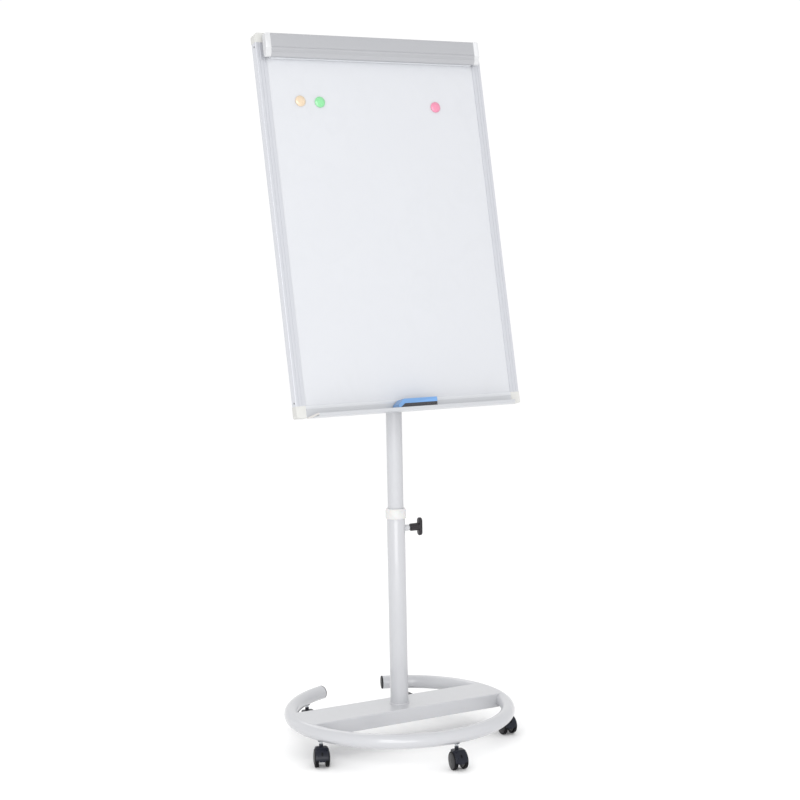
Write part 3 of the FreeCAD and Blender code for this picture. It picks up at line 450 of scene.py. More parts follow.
ALONG_X = turned("Y", 90)      # local Z on +X, local X on -Z
SECTION_X = Matrix(((0, 0, 1, 0), (1, 0, 0, 0), (0, 1, 0, 0), (0, 0, 0, 1)))     # (a, b, c) -> (c, a, b)
TO_FRONT = Matrix(((1, 0, 0, 0), (0, 0, -1, 0), (0, 1, 0, 0), (0, 0, 0, 1)))     # (a, b, c) -> (a, -c, b)
TO_BACK = Matrix(((1, 0, 0, 0), (0, 0, 1, 0), (0, 1, 0, 0), (0, 0, 0, 1)))       # (a, b, c) -> (a, c, b)
LEAN = -11.7                   # the board's lean at rest, in degrees
BOARD = spot(0, -6, 1482) @ turned("X", LEAN)      # centre of the board's front face
LOCK_Z = 619.5                 # height of the column clamp's screw
LOCK_AXIS = spot(0, 0, LOCK_Z) @ ALONG_X
TILT_Z = 1232                  # height of the tilt pivot
COLUMN_R = 26.0                # outside of the lower column


# ---------------------------------------------------------------- base
RING_R, RING_TUBE, RING_Z = 312.5, 20.0, 90.0      # to the tube's centre line, of the tube, and its height
RING_MIDDLE, RING_GAP = 91.2, 19.6                 # middle and half of the opening, in degrees


def ring_tube():
    """The open ring, with flat ends behind its plugs."""
    bm = bmesh.new()
    steps, sides = 280, 48
    rings = []
    for k in range(steps + 1):
        a = math.radians(RING_MIDDLE + RING_GAP + (360 - 2 * RING_GAP) * k / steps)
        out = Vector((math.cos(a), math.sin(a), 0))
        ring = []
        for i in range(sides):
            b = 2 * math.pi * i / sides
            p = out * (RING_R + RING_TUBE * math.cos(b)) + Vector((0, 0, RING_Z + RING_TUBE * math.sin(b)))
            ring.append(bm.verts.new(p * MM))
        rings.append(ring)
    bridge(bm, rings)
    close_ends(bm, rings)
    piece("ring_tube", bm, "base", "base_paint", ["base_ring"])


def ring_plugs():
    """The flanged plug in each of the ring's open ends."""
    bm = bmesh.new()
    profile = corner_arcs(mm([(0, -14, 0), (18.0, -14, 1), (18.0, 0, 0), (19.7, 0, 0.2), (20.0, 0.3, 0.1),
                              (20.0, 2.6, 0.5), (18.8, 3.9, 0.8), (15.6, 3.9, 0.3), (15.0, 3.1, 0.3),
                              (13.4, 3.1, 0.3), (12.6, 3.6, 0.4), (0, 3.8, 0)]), steps=3)
    for side in (1, -1):
        a = math.radians(RING_MIDDLE - side * RING_GAP)
        outward = Vector((-side * math.sin(a), side * math.cos(a), 0))
        place = spot(RING_R * math.cos(a), RING_R * math.sin(a), RING_Z)
        lathe(bm, profile, place @ outward.to_track_quat("Z", "X").to_matrix().to_4x4(), 64)
    piece("ring_plugs", bm, "base", "plug_plastic", ["ring_end_plugs"])


def welds():
    """Beads where the channel meets the ring, round the clamp boss and round the column's foot."""
    bm = bmesh.new()
    half = math.asin(66.0 / RING_R)
    points = 60
    for side in (0, math.pi):
        path = []
        for k in range(points):
            a = side - half + 2 * half * k / (points - 1)
            path.append(Vector((RING_R * math.cos(a), RING_R * math.sin(a), 109.9)) * MM)
        tube(bm, path, 0.0008, wobble=0.15, seed=3)
    boss, boss_r = [], 9.4
    for k in range(48):
        a = 2 * math.pi * k / 48
        y, z = boss_r * math.cos(a), boss_r * math.sin(a)
        boss.append(Vector((math.sqrt((COLUMN_R + 0.1) ** 2 - y * y), y, LOCK_Z + z)) * MM)
    tube(bm, boss, 0.0008, closed=True, wobble=0.15, seed=5)
    foot_r = COLUMN_R + 0.6
    foot = [Vector((foot_r * math.cos(a), foot_r * math.sin(a), 113.2)) * MM
            for a in (2 * math.pi * k / 96 for k in range(96))]
    tube(bm, foot, 0.001, closed=True, wobble=0.2, seed=7)
    piece("weld_beads", bm, "base", "base_paint")


def lower_column():
    """The outer tube with its foot flange, the clamp's boss and the collar."""
    bm = bmesh.new()
    section = mm([(24.0, 112.8), (COLUMN_R, 112.8), (COLUMN_R, 672.0), (24.0, 672.0)])
    lathe(bm, corner_arcs(section, 0.0004, 3))
    piece("lower_column_tube", bm, "base", "base_paint", ["lower_tube"])
    bm = bmesh.new()
    lathe(bm, corner_arcs(mm([(5, 110.4, 0), (29.0, 110.4, 0.2), (29.0, 112.8, 0.9), (26.0, 113.1, 0.3),
                              (23.3, 113.1, 0), (23.3, 134.8, 0.5), (5, 134.8, 0.3)])))
    piece("column_foot_flange", bm, "base", "base_paint", ["column_foot"])
    bm = bmesh.new()
    lathe(bm, corner_arcs(mm([(4.1, 24.6, 0), (9.0, 24.6, 0), (9.0, 40.0, 0.9), (4.1, 40.0, 0.5)])),
          LOCK_AXIS, 48)
    piece("clamp_boss", bm, "base", "base_paint", ["lock_boss"])
    bm = bmesh.new()
    section = mm([(22.62, 634.0, 0.2), (23.4, 634.0, 0.2), (23.4, 672.05, 0), (26.06, 672.05, 0),
                  (26.06, 649.5, 0.2), (27.2, 649.5, 0.5), (29.2, 652.6, 0.9), (29.2, 673.6, 1.2),
                  (26.6, 679.5, 0.9), (23.4, 679.5, 0.4), (22.62, 678.7, 0.3)])
    lathe(bm, corner_arcs(section))
    piece("guide_collar", bm, "base", "collar_plastic", ["collar"])


ring_tube()
ring_plugs()
welds()
lower_column()


# ---------------------------------------------------------------- casters
# Name, steps round the ring from the front one, and how far it is swivelled, in degrees.
CASTERS = (("rear_left", -2, -98.0), ("left", -1, -110.0), ("front", 0, -97.0),
           ("right", 0.95, -93.0), ("rear_right", 2, -90.0))
FRONT_ANGLE, STEP_ANGLE = -88.4, 73.8      # the front caster's place and one step round the ring
TRAIL, AXLE_Z = 11.0, 25.5                 # how far the axle trails the stem, and its height
WHEEL_FACE = 9.4                           # a wheel's inner face, from the caster's middle
HOOD_R, HOOD_IN, HOOD_TOP = 28.0, 26.15, 54.5      # the cover's outside and inside, and the roof's height


def arc(cx, cz, r, start, stop, steps):
    """Points along an arc from the start to the stop angle, in degrees."""
    out = []
    for k in range(steps + 1):
        a = math.radians(start + (stop - start) * k / steps)
        out.append((cx + r * math.cos(a), cz + r * math.sin(a)))
    return out


def hood_outline(inset, back):
    """Side view of the hood's cover. Its outside is drawn in by an inset that fades towards the front
    edge, and its roof reaches back to x = back."""
    outside = []
    for x, z in arc(TRAIL, AXLE_Z, 1.0, -1.0, 70.0, 22):
        fade = min(1.0, max(0.22, (z - AXLE_Z) / 0.8))
        r = HOOD_R - inset * fade
        outside.append((TRAIL + (x - TRAIL) * r, AXLE_Z + (z - AXLE_Z) * r))
    top = HOOD_TOP - inset
    outside += [(18.4, top, 3.5), (back, top, 3.8), (back, 46.3, 0.8)]
    return corner_arcs(mm(outside + arc(TRAIL, AXLE_Z, HOOD_IN, 127.0, -1.0, 40)))


def hood_mesh():
    """Hood with its roof, its middle web and the neck, round a stem at the origin."""
    bm = bmesh.new()
    layers = []
    widths = (18.45, 18.1, 17.5, 16.7, 15.8, 15.0, 14.0, 12.8, 11.2, 9.0)
    edge_r, most_inset = 3.6, 1.7
    roof_back, corner_depth, corner_width = -8.0, 11.4, 9.46
    for y in [-w for w in widths] + list(reversed(widths)):
        inset = edge_r - math.sqrt(edge_r ** 2 - max(0.0, abs(y) - 15.0) ** 2)
        share = max(0.0, abs(y) - 9.0) / corner_width
        back = roof_back + corner_depth * (1.0 - math.sqrt(1.0 - share ** 2))
        layers.append((y * MM, hood_outline(min(inset, most_inset), back)))
    loft(bm, layers, TO_FRONT)
    web = arc(TRAIL, AXLE_Z, 26.9, -11.8, 88, 24) + [(-9.0, 53.3, 1.5), (-9.0, 43.6, 1.5)]
    web += arc(TRAIL, AXLE_Z, 26.9, 140, 191.8, 14)
    prism(bm, corner_arcs(mm(web), 0.0003), -0.0087, 0.0087, TO_FRONT)
    neck = mm([(4.1, 53.8, 0), (6.5, 53.8, 0), (6.5, 54.9, 0.3), (5.6, 55.8, 0.6), (5.6, 62.0, 0.8),
               (4.1, 62.0, 0.4)])
    lathe(bm, corner_arcs(neck), segments=48)
    return to_mesh(bm, "caster_hood")


def hood_recess_shade_mesh():
    """A plain oval with a raised rim round a slightly lower middle, wrapped on the hood's cover; its dark
    colour is painted shade for a recess in the hood.
    """
    bm = bmesh.new()
    sides = 40
    half_long, half_wide = 5.6, 2.7
    rings = []
    for share, r in ((1.0, 27.9), (0.98, 28.16), (0.84, 28.16), (0.8, 28.05), (0.4, 28.05)):
        ring = []
        for k in range(sides):
            b = 2 * math.pi * k / sides
            a = math.radians(36) + half_long * share * math.cos(b) / HOOD_R
            y = half_wide * share * math.sin(b)
            ring.append(bm.verts.new(Vector((TRAIL + r * math.cos(a), y, AXLE_Z + r * math.sin(a))) * MM))
        rings.append(ring)
    bridge(bm, rings)
    bm.faces.new(rings[-1])
    return to_mesh(bm, "caster_recess_shade")


def wheel_meshes():
    """The tread ring and the domed disc of one wheel, from its inner face at height 0."""
    tread = bmesh.new()
    lathe(tread, corner_arcs(mm([(20.8, 0.3, 0.2), (22.8, 0.0, 0.5), (24.9, 0.5, 0.8), (25.5, 2.1, 1.2),
                                 (25.5, 8.7, 1.2), (24.9, 10.3, 0.8), (23.4, 10.9, 0.5), (22.3, 10.6, 0.3),
                                 (20.8, 9.3, 0.2)])), segments=120)
    disc = bmesh.new()
    profile = [(0, 3.0, 0), (3.1, 3.0, 0), (3.1, 0.1, 0.3), (5.6, 0.1, 0.4), (5.6, 2.0, 0.4),
               (17.8, 2.0, 0.6), (19.0, 0.6, 0.5), (21.0, 0.5, 0.3), (22.2, 1.5, 0), (22.2, 9.7, 0.3),
               (21.4, 10.6, 0.5), (19.2, 11.8, 2.0), (14.0, 13.0, 4.0), (8.8, 13.6, 1.2), (8.2, 13.2, 0.3),
               (7.5, 13.3, 0.3), (7.0, 13.7, 0.4), (3.0, 13.95, 3.0), (0, 14.0, 0)]
    lathe(disc, corner_arcs(mm(profile)))
    return to_mesh(tread, "caster_tread"), to_mesh(disc, "caster_disc")


def casters():
    """The five casters, which share their meshes, and the stem pins in the ring."""
    hood = hood_mesh()
    recess_shade = hood_recess_shade_mesh()
    tread, disc = wheel_meshes()
    stems = bmesh.new()
    pin = mm([(0, 34.5, 0), (3.95, 34.5, 0.6), (3.95, 62.2, 0), (4.75, 62.2, 0.3), (4.75, 68.3, 0.2),
              (8.7, 68.4, 0.5), (8.7, 70.0, 0.4), (3.95, 70.0, 0.2), (3.95, 79.0, 0.6), (0, 79.0, 0)])
    pin = corner_arcs(pin, steps=3)
    for name, step, yaw in CASTERS:
        a = math.radians(FRONT_ANGLE + STEP_ANGLE * step)
        stem = spot(RING_R * math.cos(a), RING_R * math.sin(a), 0)
        lathe(stems, pin, stem, 40)
        local = stem @ turned("Z", yaw)
        piece("hood_" + name, hood, "caster_" + name, "caster_hood_plastic", ["caster_hood_" + name], local,
              bevel=0.0004)
        # The dark oval on the hood: painted shade for a recess.
        piece("recess_shade_" + name, recess_shade, "caster_" + name, "caster_tread_plastic", (), local)
        middle = local @ spot(TRAIL, 0, AXLE_Z) @ turned("X", -90)
        for side, flip in (("a", Matrix()), ("b", turned("X", 180))):
            place = middle @ flip @ spot(0, 0, WHEEL_FACE)
            body = "wheel_%s_%s" % (name, side)
            node = "caster_wheel_%s_%s" % (name, side)
            piece("tread_%s_%s" % (name, side), tread, body, "caster_tread_plastic", [node], place)
            piece("disc_%s_%s" % (name, side), disc, body, "caster_wheel_plastic", (), place)
    piece("stem_pins", stems, "base", "stem_chrome", ["caster_stems"])


casters()


# ---------------------------------------------------------------- column clamp
def thread_profile(radius, low, high, pitch):
    """Profile of a threaded rod, as plain ridges one pitch apart."""
    tip, root, plain = radius - 0.8, radius - 0.62, 0.5
    points = [(0, low), (tip, low)]
    z = low + plain
    while z + pitch < high - plain:
        points += [(root, z), (radius, z + pitch * 0.4), (radius, z + pitch * 0.6)]
        z += pitch
    points += [(root, z), (tip, high), (0, high)]
    return mm(points)


HUB_BORE = 0.008                     # profile points nearer the axis than this are in the hub's bore
FLUTES = 8
FLUTE_LOW, FLUTE_HIGH = 46.0, 69.5   # where the flutes start and end along the screw
WING_R, WING_REACH = 10.0, 16.0      # a wing's round end, and how far its centre is from the screw


def hub_profile():
    """The knob's hub, with more points along its long side so that the flutes can fade there."""
    hub = corner_arcs(mm([(4.1, 45.0, 0.2), (9.4, 45.0, 0.5), (10.4, 46.4, 0.6), (10.9, 49.0, 1.0),
                          (10.9, 70.0, 1.0), (9.9, 74.5, 0.5), (4.1, 74.5, 0)]))
    parts = 8
    out = []
    for i, (r, z) in enumerate(hub):
        out.append((r, z))
        next_r, next_z = hub[(i + 1) % len(hub)]
        if abs(next_z - z) > 0.006 and r > HUB_BORE:
            for k in range(1, parts):
                out.append((r + (next_r - r) * k / parts, z + (next_z - z) * k / parts))
    return out


def column_clamp():
    """The clamp's screw, and its knob: a fluted hub with two wings and a small cap."""
    bm = bmesh.new()
    lathe(bm, thread_profile(4.0, 25.75, 72.9, 1.25), LOCK_AXIS, 36)
    piece("clamp_screw", bm, "lock_knob", "zinc_steel", ["lock_screw"])
    bm = bmesh.new()
    hub = hub_profile()

    def flute(i, a):
        """How much of its radius a point of the hub keeps at an angle."""
        z = hub[i][1] / MM
        if hub[i][0] < HUB_BORE or z > FLUTE_HIGH or z < FLUTE_LOW:
            return 1.0
        depth = 0.10 * max(0.0, math.cos(FLUTES * a)) ** 1.6
        return 1.0 - depth * min(1.0, (FLUTE_HIGH - z) / 4.0)

    lathe(bm, hub, LOCK_AXIS, 128, flute)
    wing = []
    for k in range(72):
        a = 2 * math.pi * k / 72
        end = WING_REACH if math.sin(a) >= 0 else -WING_REACH
        wing.append((WING_R * math.cos(a), end + WING_R * math.sin(a)))
    low, high = 72.5, 81.5
    levels = [(low, 0.86), (low + 0.5, 0.93), (low + 1.4, 0.98), (low + 2.6, 1.0), (high - 2.8, 1.0),
              (high - 1.5, 0.975), (high - 0.6, 0.92), (high, 0.80)]
    rings = []
    for x, scale in levels:
        ring = []
        for a, b in wing:
            keep = 1.0 - (1.0 - scale) * WING_R / (WING_R + WING_REACH)
            waist = 1.0 - 0.16 * math.exp(-(b / 9.0) ** 2)
            ring.append(bm.verts.new(Vector((x, a * scale * waist, LOCK_Z + b * keep)) * MM))
        rings.append(ring)
    bridge(bm, rings)
    close_ends(bm, rings)
    cap = mm([(0, 81.2, 0), (4.6, 81.2, 0), (4.6, 81.45, 0.15), (3.9, 81.45, 0.1), (3.6, 81.25, 0.1),
              (0, 81.25, 0)])
    lathe(bm, corner_arcs(cap, steps=2), LOCK_AXIS, 40)
    piece("clamp_wing_knob", bm, "lock_knob", "knob_plastic", ["lock_knob"])


def mast():
    bm = bmesh.new()
    section = mm([(21.0, 520.0), (22.5, 520.0), (22.5, 1190.0), (21.0, 1190.0)])
    lathe(bm, corner_arcs(section, 0.0004, 3))
    piece("inner_column_tube", bm, "mast", "mast_paint", ["upper_tube"])


column_clamp()
mast()


# ---------------------------------------------------------------- tilt pivot
def hex_socket(first, last):
    """Radius function for lathe that makes a profile's points first to last six-sided."""
    def scale(i, a):
        if first <= i <= last:
            side = (a + math.pi / 6) % (math.pi / 3) - math.pi / 6
            return 1.0 / math.cos(side)
        return 1.0
    return scale


def tilt_pivot():
    """The pivot's bolt, its washer and the star knob."""
    axis = spot(0, 0, TILT_Z) @ ALONG_X
    bm = bmesh.new()
    head = mm([(0, -23.0), (7.9, -23.0), (7.9, -26.6), (7.3, -27.6), (6.2, -28.0), (3.4, -28.0),
               (3.2, -27.8), (3.2, -25.0), (0, -25.0)])
    lathe(bm, head, axis, 72, hex_socket(6, 7))
    lathe(bm, thread_profile(4.0, -23.5, 40.0, 1.25), axis, 36)
    piece("tilt_bolt", bm, "board", "zinc_steel", ["pivot_bolt"])
    bm = bmesh.new()
    section = mm([(4.1, 23.1, 0.2), (10.0, 23.1, 0.3), (10.0, 25.1, 0.5), (4.1, 25.1, 0.3)])
    lathe(bm, corner_arcs(section, steps=3), axis, 64)
    piece("tilt_lock_washer", bm, "tilt_washer", "zinc_steel", ["tilt_washer"])
    bm = bmesh.new()
    hub = mm([(4.1, 25.2, 0.3), (8.9, 25.2, 0.6), (8.9, 33.0, 0), (4.1, 33.0, 0)])
    lathe(bm, corner_arcs(hub, steps=3), axis, 56)
    lobes, points = 5, 150
    levels = [(32.2, 0.88), (32.6, 0.94), (33.4, 0.98), (34.6, 1.0), (41.2, 1.0), (42.8, 0.975),
              (43.7, 0.91), (44.15, 0.80)]
    rings = []
    for x, scale in levels:
        ring = []
        for k in range(points):
            a = 2 * math.pi * k / points
            r = (17.0 + 3.2 * math.cos(lobes * (a - math.pi / 2))) * scale
            ring.append(bm.verts.new(Vector((x, r * math.cos(a), TILT_Z + r * math.sin(a))) * MM))
        rings.append(ring)
    bridge(bm, rings)
    close_ends(bm, rings)
    piece("tilt_star_knob", bm, "tilt_knob", "knob_plastic", ["tilt_knob"])


tilt_pivot()


# ---------------------------------------------------------------- board
HALF_W, HALF_H, DEPTH = 350.0, 525.0, 26.0
SIDE_FACE, TOP_FACE, BOTTOM_FACE = 28.0, 26.0, 32.0


def member(outer, face):
    """Section of a frame extrusion as (across, back) points, as the CAD piece has it."""
    inner = outer - face
    slot = outer - 9.0
    rear = outer - 20.0
    points = [(inner, 0.0, 0.3)]
    for middle in (inner + face * 0.35, inner + face * 0.66):
        points += [(middle - 0.6, 0.0, 0.15), (middle - 0.6, 0.8, 0.1), (middle + 0.6, 0.8, 0.1),
                   (middle + 0.6, 0.0, 0.15)]
    points += [(outer, 0.0, 1.6), (outer, DEPTH, 1.6), (rear, DEPTH, 0.4), (rear, 14.2, 0.2),
               (slot, 14.2, 0), (slot, 2.0, 0), (inner, 2.0, 0.2)]
    return points


def frame_members():
    """The four extrusions: two uprights, and a top and a bottom between them."""
    low, high = -HALF_H + BOTTOM_FACE, HALF_H - TOP_FACE
    for name, side in (("right", 1), ("left", -1)):
        outline = [(a * side, y, r) for a, y, r in member(HALF_W, SIDE_FACE)]
        bm = bmesh.new()
        prism(bm, corner_arcs(mm(outline)), low * MM, high * MM)
        piece("frame_profile_" + name, bm, "board", "frame_z", ["frame_" + name], BOARD)
    half = HALF_W - SIDE_FACE
    for name, side, face in (("top", 1, TOP_FACE), ("bottom", -1, BOTTOM_FACE)):
        outline = [(y, a * side, r) for a, y, r in member(HALF_H, face)]
        bm = bmesh.new()
        prism(bm, corner_arcs(mm(outline)), -half * MM, half * MM, SECTION_X)
        piece("frame_profile_" + name, bm, "board", "frame_x", ["frame_" + name], BOARD)


def corner_pieces():
    """The four corner caps, which stand a little proud of the frame."""
    bm = bmesh.new()
    proud = 0.5
    for side in (1, -1):
        for end, face, radius in ((1, TOP_FACE, 10.0), (-1, BOTTOM_FACE, 5.0)):
            u0, u1 = (HALF_W - SIDE_FACE) * side, (HALF_W + proud) * side
            v0, v1 = (HALF_H - face) * end, (HALF_H + proud) * end
            outline = mm([(u0, v0, 0.4), (u1, v0, 0.4), (u1, v1, radius), (u0, v1, 0.4)])
            prism(bm, corner_arcs(outline, steps=8), -proud * MM, (DEPTH + proud) * MM, TO_BACK)
    piece("corner_mouldings", bm, "board", "corner_cap_plastic", ["corner_caps"], BOARD,
          bevel=0.0011, segments=3)


TRAY_FLOOR, RIB_TOP = -526.2, -523.8
TRAY_HALF, TRAY_NARROWS = 321.0, 15.5      # half length at the board, and how much shorter it is at the lip


def tray_end(y):
    """Half length of the tray at a distance in front of the board (y is negative there)."""
    w = -y / MM
    reach = min(max((w - 2.2) / 43.8, 0.0), 1.1)
    return (TRAY_HALF - TRAY_NARROWS * reach) * MM


def tray():
    """The pen tray with two ribs on its floor, and its end caps."""
    section = [(0, -502, 0.4), (0, -528, 0.4), (-46, -528, 1.2), (-46, -518.6, 0.7), (-44.2, -518.6, 0.7),
               (-44.2, TRAY_FLOOR, 0.5)]
    for rib in (34.0, 12.0):
        section += [(-(rib + 1.6), TRAY_FLOOR, 0.2), (-(rib + 1.6), RIB_TOP, 0.5), (-rib, RIB_TOP, 0.5),
                    (-rib, TRAY_FLOOR, 0.2)]
    section += [(-1.8, TRAY_FLOOR, 0.4), (-1.8, -502, 0.5)]
    bm = bmesh.new()
    section = corner_arcs(mm(section), steps=3)
    prism(bm, section, lambda a, b: -tray_end(a), lambda a, b: tray_end(a), SECTION_X)
    piece("tray_profile", bm, "board", "tray_x", ["pen_tray"], BOARD)
    bm = bmesh.new()
    outline = mm([(-2.2, -528.4, 0.4), (-20.0, -528.4, 3.0), (-46.6, -522.0, 2.2), (-46.6, -518.0, 1.4),
                  (-2.2, -525.2, 0.8)])
    for side in (1, -1):
        near = lambda a, b, s=side: s * (tray_end(a) + 0.0001)
        far = lambda a, b, s=side: s * (tray_end(a) + 0.0023)
        low, high = (near, far) if side > 0 else (far, near)
        prism(bm, corner_arcs(outline, steps=5), low, high, SECTION_X)
    piece("tray_ends", bm, "board", "tray_cap_plastic", ["tray_end_caps"], BOARD, bevel=0.0006, segments=3)


def screw_head(bm, place, r, height):
    """A socket head of radius r."""
    head = [(0, 0), (r * 0.98, 0), (r, height * 0.25), (r * 0.93, height * 0.6), (r * 0.72, height * 0.88),
            (r * 0.42, height), (r * 0.38, height * 0.97), (r * 0.38, height * 0.25), (0, height * 0.25)]
    lathe(bm, mm(head), place, 48, hex_socket(6, 7))


def board_fixings():
    """The six bracket screws and the four small screws in the frame's sides."""
    bm = bmesh.new()
    pivot_v = -243.6
    for u in (-58.0, 58.0):
        for v in (-95.0, 20.0, 135.0):
            place = spot(u, 17.0, pivot_v + v) @ turned("X", -90)
            screw_head(bm, place, 4.2, 2.4)
            lathe(bm, mm([(0, -11), (2.0, -11), (2.0, 0.2), (0, 0.2)]), place, 20)
    piece("fixing_screws", bm, "board", "zinc_steel", ["board_screws"], BOARD)
    small = bmesh.new()
    for side in (1, -1):
        for v in (488.0, -484.0):
            place = spot(HALF_W * side, 10.0, v) @ turned("Y", 90 * side)
            screw_head(small, place, 2.6, 0.45)
    piece("frame_screws", small, "board", "dark_screw", place=BOARD)


frame_members()
corner_pieces()
tray()
board_fixings()


# ---------------------------------------------------------------- paper clamp
CLAMP_OUTSIDE = [(-9, 517.5, 0.5), (-27.5, 517.5, 0.8), (-29.3, 516.8, 0.8), (-30, 515.0, 0.8),
                 (-30, 481.0, 0.3), (-29.1, 480.2, 0.2), (-29.1, 478.8, 0.2), (-30, 478.0, 0.3),
                 (-30, 475.0, 0.6), (-28.4, 473.0, 0.8), (-27.1, 467.0, 0.4), (-27.4, 465.0, 0.4),
                 (-25.8, 461.5, 0.8), (-21.0, 455.0, 1.5), (-19.0, 454.0, 0.6)]
CLAMP_INSIDE = [(-14, 454, 0.5), (-14, 455.8, 0.3), (-18.4, 455.8, 0.3), (-20.0, 457.2, 0.5),
                (-24.2, 461.9, 0.5), (-25.4, 466.5, 0.3), (-26.8, 473.5, 0.3), (-27.4, 481.5, 0.3),
                (-28.2, 483.5, 0.3), (-28.2, 515.7, 0.4), (-9, 515.7, 0.4)]
RAIL_HALF, STRIP_HALF = 0.317, 0.313       # half lengths of the rail and of its rubber strip
CAP_IN, CAP_OUT = 0.3171, 0.3331           # a cap's inner face and its outer end


def paper_clamp():
    """The hinged rail with its end caps and rubber strip, and the two coil springs on the board."""
    bm = bmesh.new()
    section = corner_arcs(mm(CLAMP_OUTSIDE + CLAMP_INSIDE), steps=3)
    prism(bm, section, -RAIL_HALF, RAIL_HALF, SECTION_X)
    piece("clamp_profile", bm, "clamp", "clamp_aluminium", ["clamp_rail"], BOARD)
    bm = bmesh.new()
    closed = [(-9, 517.5, 1.5), (-29.8, 517.5, 3.0), (-30, 515.0, 0.8), (-30, 476.0, 1.5),
              (-28.2, 472.0, 1.5), (-26.8, 464.0, 1.5), (-21.0, 455.0, 2.5), (-14, 454, 1.0), (-9, 464, 2.0)]
    outline = corner_arcs(mm(closed), steps=6)

    def outer(a, b):
        """Outer end of a cap, drawn in over its top so that the corner is round."""
        rise = max(0.0, (b / MM - 513.5) / 4.0)
        return CAP_OUT - 0.0042 * (1.0 - math.sqrt(max(0.0, 1.0 - min(rise, 1.0) ** 2)))

    for side in (1, -1):
        if side > 0:
            prism(bm, outline, CAP_IN, outer, SECTION_X)
        else:
            prism(bm, outline, lambda a, b: -outer(a, b), -CAP_IN, SECTION_X)
    piece("clamp_ends", bm, "clamp", "clamp_cap_plastic", ["clamp_end_caps"], BOARD,
          bevel=0.0009, segments=3)
    bm = bmesh.new()
    strip = mm([(-13.9, 454.4, 0.4), (-13.9, 461, 0.6), (-2.0, 461, 1.2), (1.7, 459.4, 0.8),
                (1.7, 456.6, 0.8), (-2.0, 454.4, 1.2)])
    prism(bm, corner_arcs(strip), -STRIP_HALF, STRIP_HALF, SECTION_X)
    # The strip's pale colour is painted light that hides the shade under the clamp.
    piece("clamp_rubber", bm, "clamp", "grip_rubber", ["clamp_grip"], BOARD, bevel=0.0004)
    bm = bmesh.new()
    turns, steps, coil_r, wire_r = 5.0, 150, 3.95, 0.00062
    for side in (1, -1):
        path = []
        for k in range(steps + 1):
            a = 2 * math.pi * turns * k / steps
            x = side * (309.2 + 6.4 * k / steps)
            path.append(Vector((x, -14 + coil_r * math.cos(a), 505 + coil_r * math.sin(a))) * MM)
        tube(bm, path, wire_r)
    piece("clamp_coils", bm, "board", "spring_steel", ["clamp_springs"], BOARD)


paper_clamp()


# ---------------------------------------------------------------- magnets and eraser
def magnets():
    """Three round magnets with domed caps, on the writing face."""
    for colour, u, v in (("orange", -235.0, 340.0), ("green", -176.5, 338.4), ("pink", 185.7, 332.4)):
        place = BOARD @ spot(u, 1.98, v) @ TO_FRONT
        bm = bmesh.new()
        profile = corner_arcs(mm([(0, 0.5, 0), (12.6, 0.5, 0), (12.6, 0.1, 0.2), (14.6, 0.1, 0.4),
                                  (15.0, 2.6, 0.9), (14.7, 3.6, 0.9), (10.5, 6.1, 5.0), (5.2, 7.5, 4.0),
                                  (0, 7.95, 0)]), steps=6)
        lathe(bm, profile, segments=80)
        name = "magnet_" + colour
        piece("round_" + name, bm, name, name, [name], place)


def eraser():
    """The eraser's shell and its felt pads, lying in the tray."""
    rest = RIB_TOP + 0.05
    top = rest + 28.15
    seam = rest + 15.4
    middle = -2.5
    back, front = -5.2, -43.2
    case = [(middle - 44.0, top, 7.0), (middle + 60.0, top, 2.0), (middle + 60.0, seam, 0.6),
            (middle - 41.5, seam, 2.0), (middle - 54.0, seam - 9.5, 1.5), (middle - 55.0, rest + 0.2, 1.0),
            (middle - 60.0, rest + 0.2, 1.4), (middle - 60.0, top - 14.9, 4.0)]
    bm = bmesh.new()
    prism(bm, corner_arcs(mm(case), steps=7), front * MM, back * MM, TO_BACK)
    piece("eraser_shell", bm, "eraser", "eraser_blue", ["eraser_case"], BOARD, bevel=0.0016, segments=4)
    bm = bmesh.new()
    rng = random.Random(11)
    layers = 6
    width = (back - front - 1.4) / layers
    for k in range(layers):
        y0 = front + 0.7 + width * k
        drop = rng.uniform(0.0, 0.35)
        pads = [(middle + 59.3 - rng.uniform(0, 0.5), rest + drop, 1.2), (middle + 59.5, seam - 0.1, 0.3),
                (middle - 41.5, seam - 0.1, 0.6), (middle - 53.7, seam - 9.6, 0.8),
                (middle - 54.6 + rng.uniform(0, 0.4), rest + drop, 0.6)]
        prism(bm, corner_arcs(mm(pads)), (y0 + 0.05) * MM, (y0 + width - 0.05) * MM, TO_BACK)
    piece("eraser_felts", bm, "eraser", "eraser_felt", ["eraser_felt"], BOARD, bevel=0.0008, segments=3)


magnets()
eraser()


# ---------------------------------------------------------------- CAD pieces that stay
def dress(node, material):
    """Gives a CAD node its material."""
    obj = NODES[node]
    if not obj.material_slots:
        obj.data.materials.append(MATERIALS[material])
    for material_slot in obj.material_slots:
        material_slot.material = MATERIALS[material]


for node, material in (("cross_channel", "base_paint"), ("column_bolt_and_washer", "zinc_steel"),
                       ("lock_pad", "zinc_steel"), ("guide_bush", "bush_plastic"),
                       ("head_clevis", "mast_paint"), ("tilt_bracket", "bracket_paint"),
                       ("writing_sheet", "writing_enamel"), ("panel_core", "panel_fibreboard"),
                       ("back_sheet", "back_steel"), ("clamp_hinge_lugs", "zinc_steel")):
    dress(node, material)
for name, _, _ in CASTERS:
    dress("caster_axle_" + name, "zinc_steel")


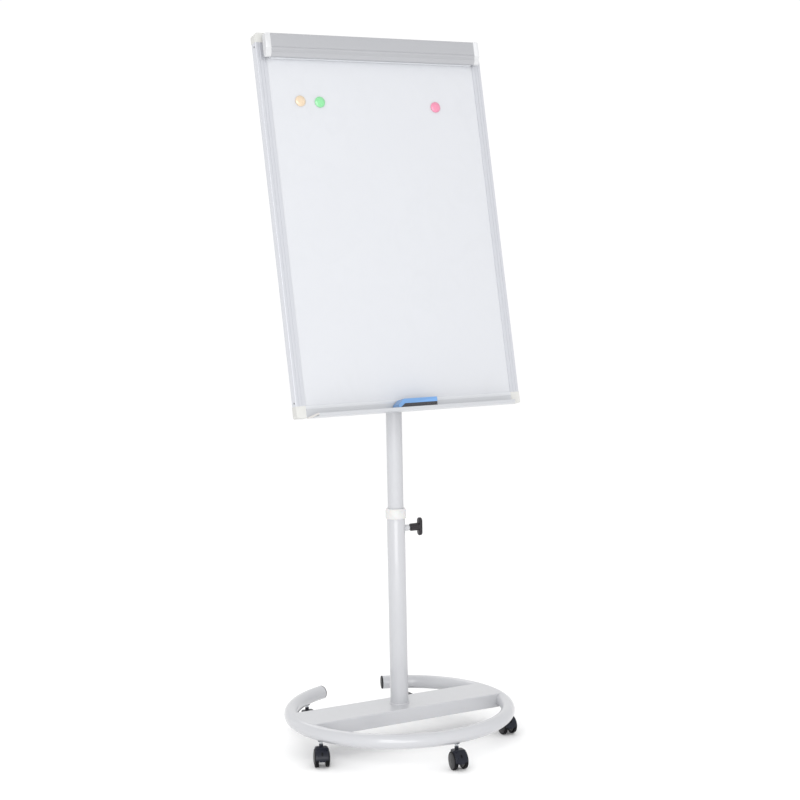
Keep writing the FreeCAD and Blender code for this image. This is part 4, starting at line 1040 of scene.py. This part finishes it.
# ---------------------------------------------------------------- floor, light and camera
def floor():
    """A wide white floor, part of the studio and not of the easel."""
    bm = bmesh.new()
    size = 40.0
    steps = 8
    grid = []
    for i in range(steps + 1):
        x = (i / steps - 0.5) * size
        grid.append([bm.verts.new((x, (j / steps - 0.5) * size, 0.0)) for j in range(steps + 1)])
    for i in range(steps):
        for j in range(steps):
            bm.faces.new((grid[i][j], grid[i + 1][j], grid[i + 1][j + 1], grid[i][j + 1]))
    mesh = bpy.data.meshes.new("studio_floor")
    bm.to_mesh(mesh)
    bm.free()
    n = Nodes("studio_floor")
    n.link(n.mix(n.noise(0.8, 3.0), [0.985] * 3, [0.995] * 3), n.shader.inputs["Base Color"])
    n.link(n.span(n.noise(3.0, 4.0), 0.3, 0.7, 0.75, 0.9), n.shader.inputs["Roughness"])
    n.set(specular=0.2)
    mesh.materials.append(n.material)
    obj = bpy.data.objects.new("studio_floor", mesh)
    bpy.context.scene.collection.objects.link(obj)


def lamp(name, place, aim, size, power, colour=(1, 1, 1)):
    """A softbox at a place, turned towards a point."""
    data = bpy.data.lights.new(name, "AREA")
    data.shape = "RECTANGLE"
    data.size, data.size_y = size
    data.energy = power
    data.color = colour
    obj = bpy.data.objects.new(name, data)
    obj.location = place
    obj.rotation_mode = "QUATERNION"
    obj.rotation_quaternion = (Vector(aim) - Vector(place)).to_track_quat("-Z", "Y")
    bpy.context.scene.collection.objects.link(obj)


floor()
lamp("key_softbox", (-3.0, -3.6, 3.2), (0, 0, 1.0), (1.3, 1.3), 40.0, (1.0, 0.997, 0.99))
lamp("front_softbox", (-2.8, -4.9, 1.35), (0, 0, 0.9), (3.8, 2.5), 112.0)
lamp("fill_softbox", (3.6, -2.0, 2.2), (0, 0, 0.8), (1.6, 2.2), 3.0, (0.985, 0.99, 1.0))
lamp("back_softbox", (0.5, 3.6, 3.2), (0, 0, 0.9), (2.4, 1.4), 16.0)
lamp("side_softbox", (-2.3, 3.9, 1.5), (-0.3, 0, 1.4), (1.6, 2.6), 5.0, (1.0, 0.997, 0.985))

world = bpy.data.worlds.new("studio")
world.use_nodes = True
world.node_tree.nodes["Background"].inputs["Color"].default_value = (1.0, 1.0, 1.0, 1.0)
world.node_tree.nodes["Background"].inputs["Strength"].default_value = 1.03
bpy.context.scene.world = world
bpy.context.scene.view_settings.view_transform = "Standard"

camera_data = bpy.data.cameras.new("camera")
camera_data.sensor_width = 36.0
camera_data.lens = 75.016
camera_data.shift_x = -0.0251
camera_data.shift_y = 0.0725
camera_data.clip_start = 0.05
camera_data.clip_end = 200.0
camera = bpy.data.objects.new("camera", camera_data)
camera.location = (-2.1860, -4.1444, 1.4224)
camera.rotation_euler = tuple(math.radians(a) for a in (82.69186, 1.01592, -28.82025))
bpy.context.scene.collection.objects.link(camera)
bpy.context.scene.camera = camera
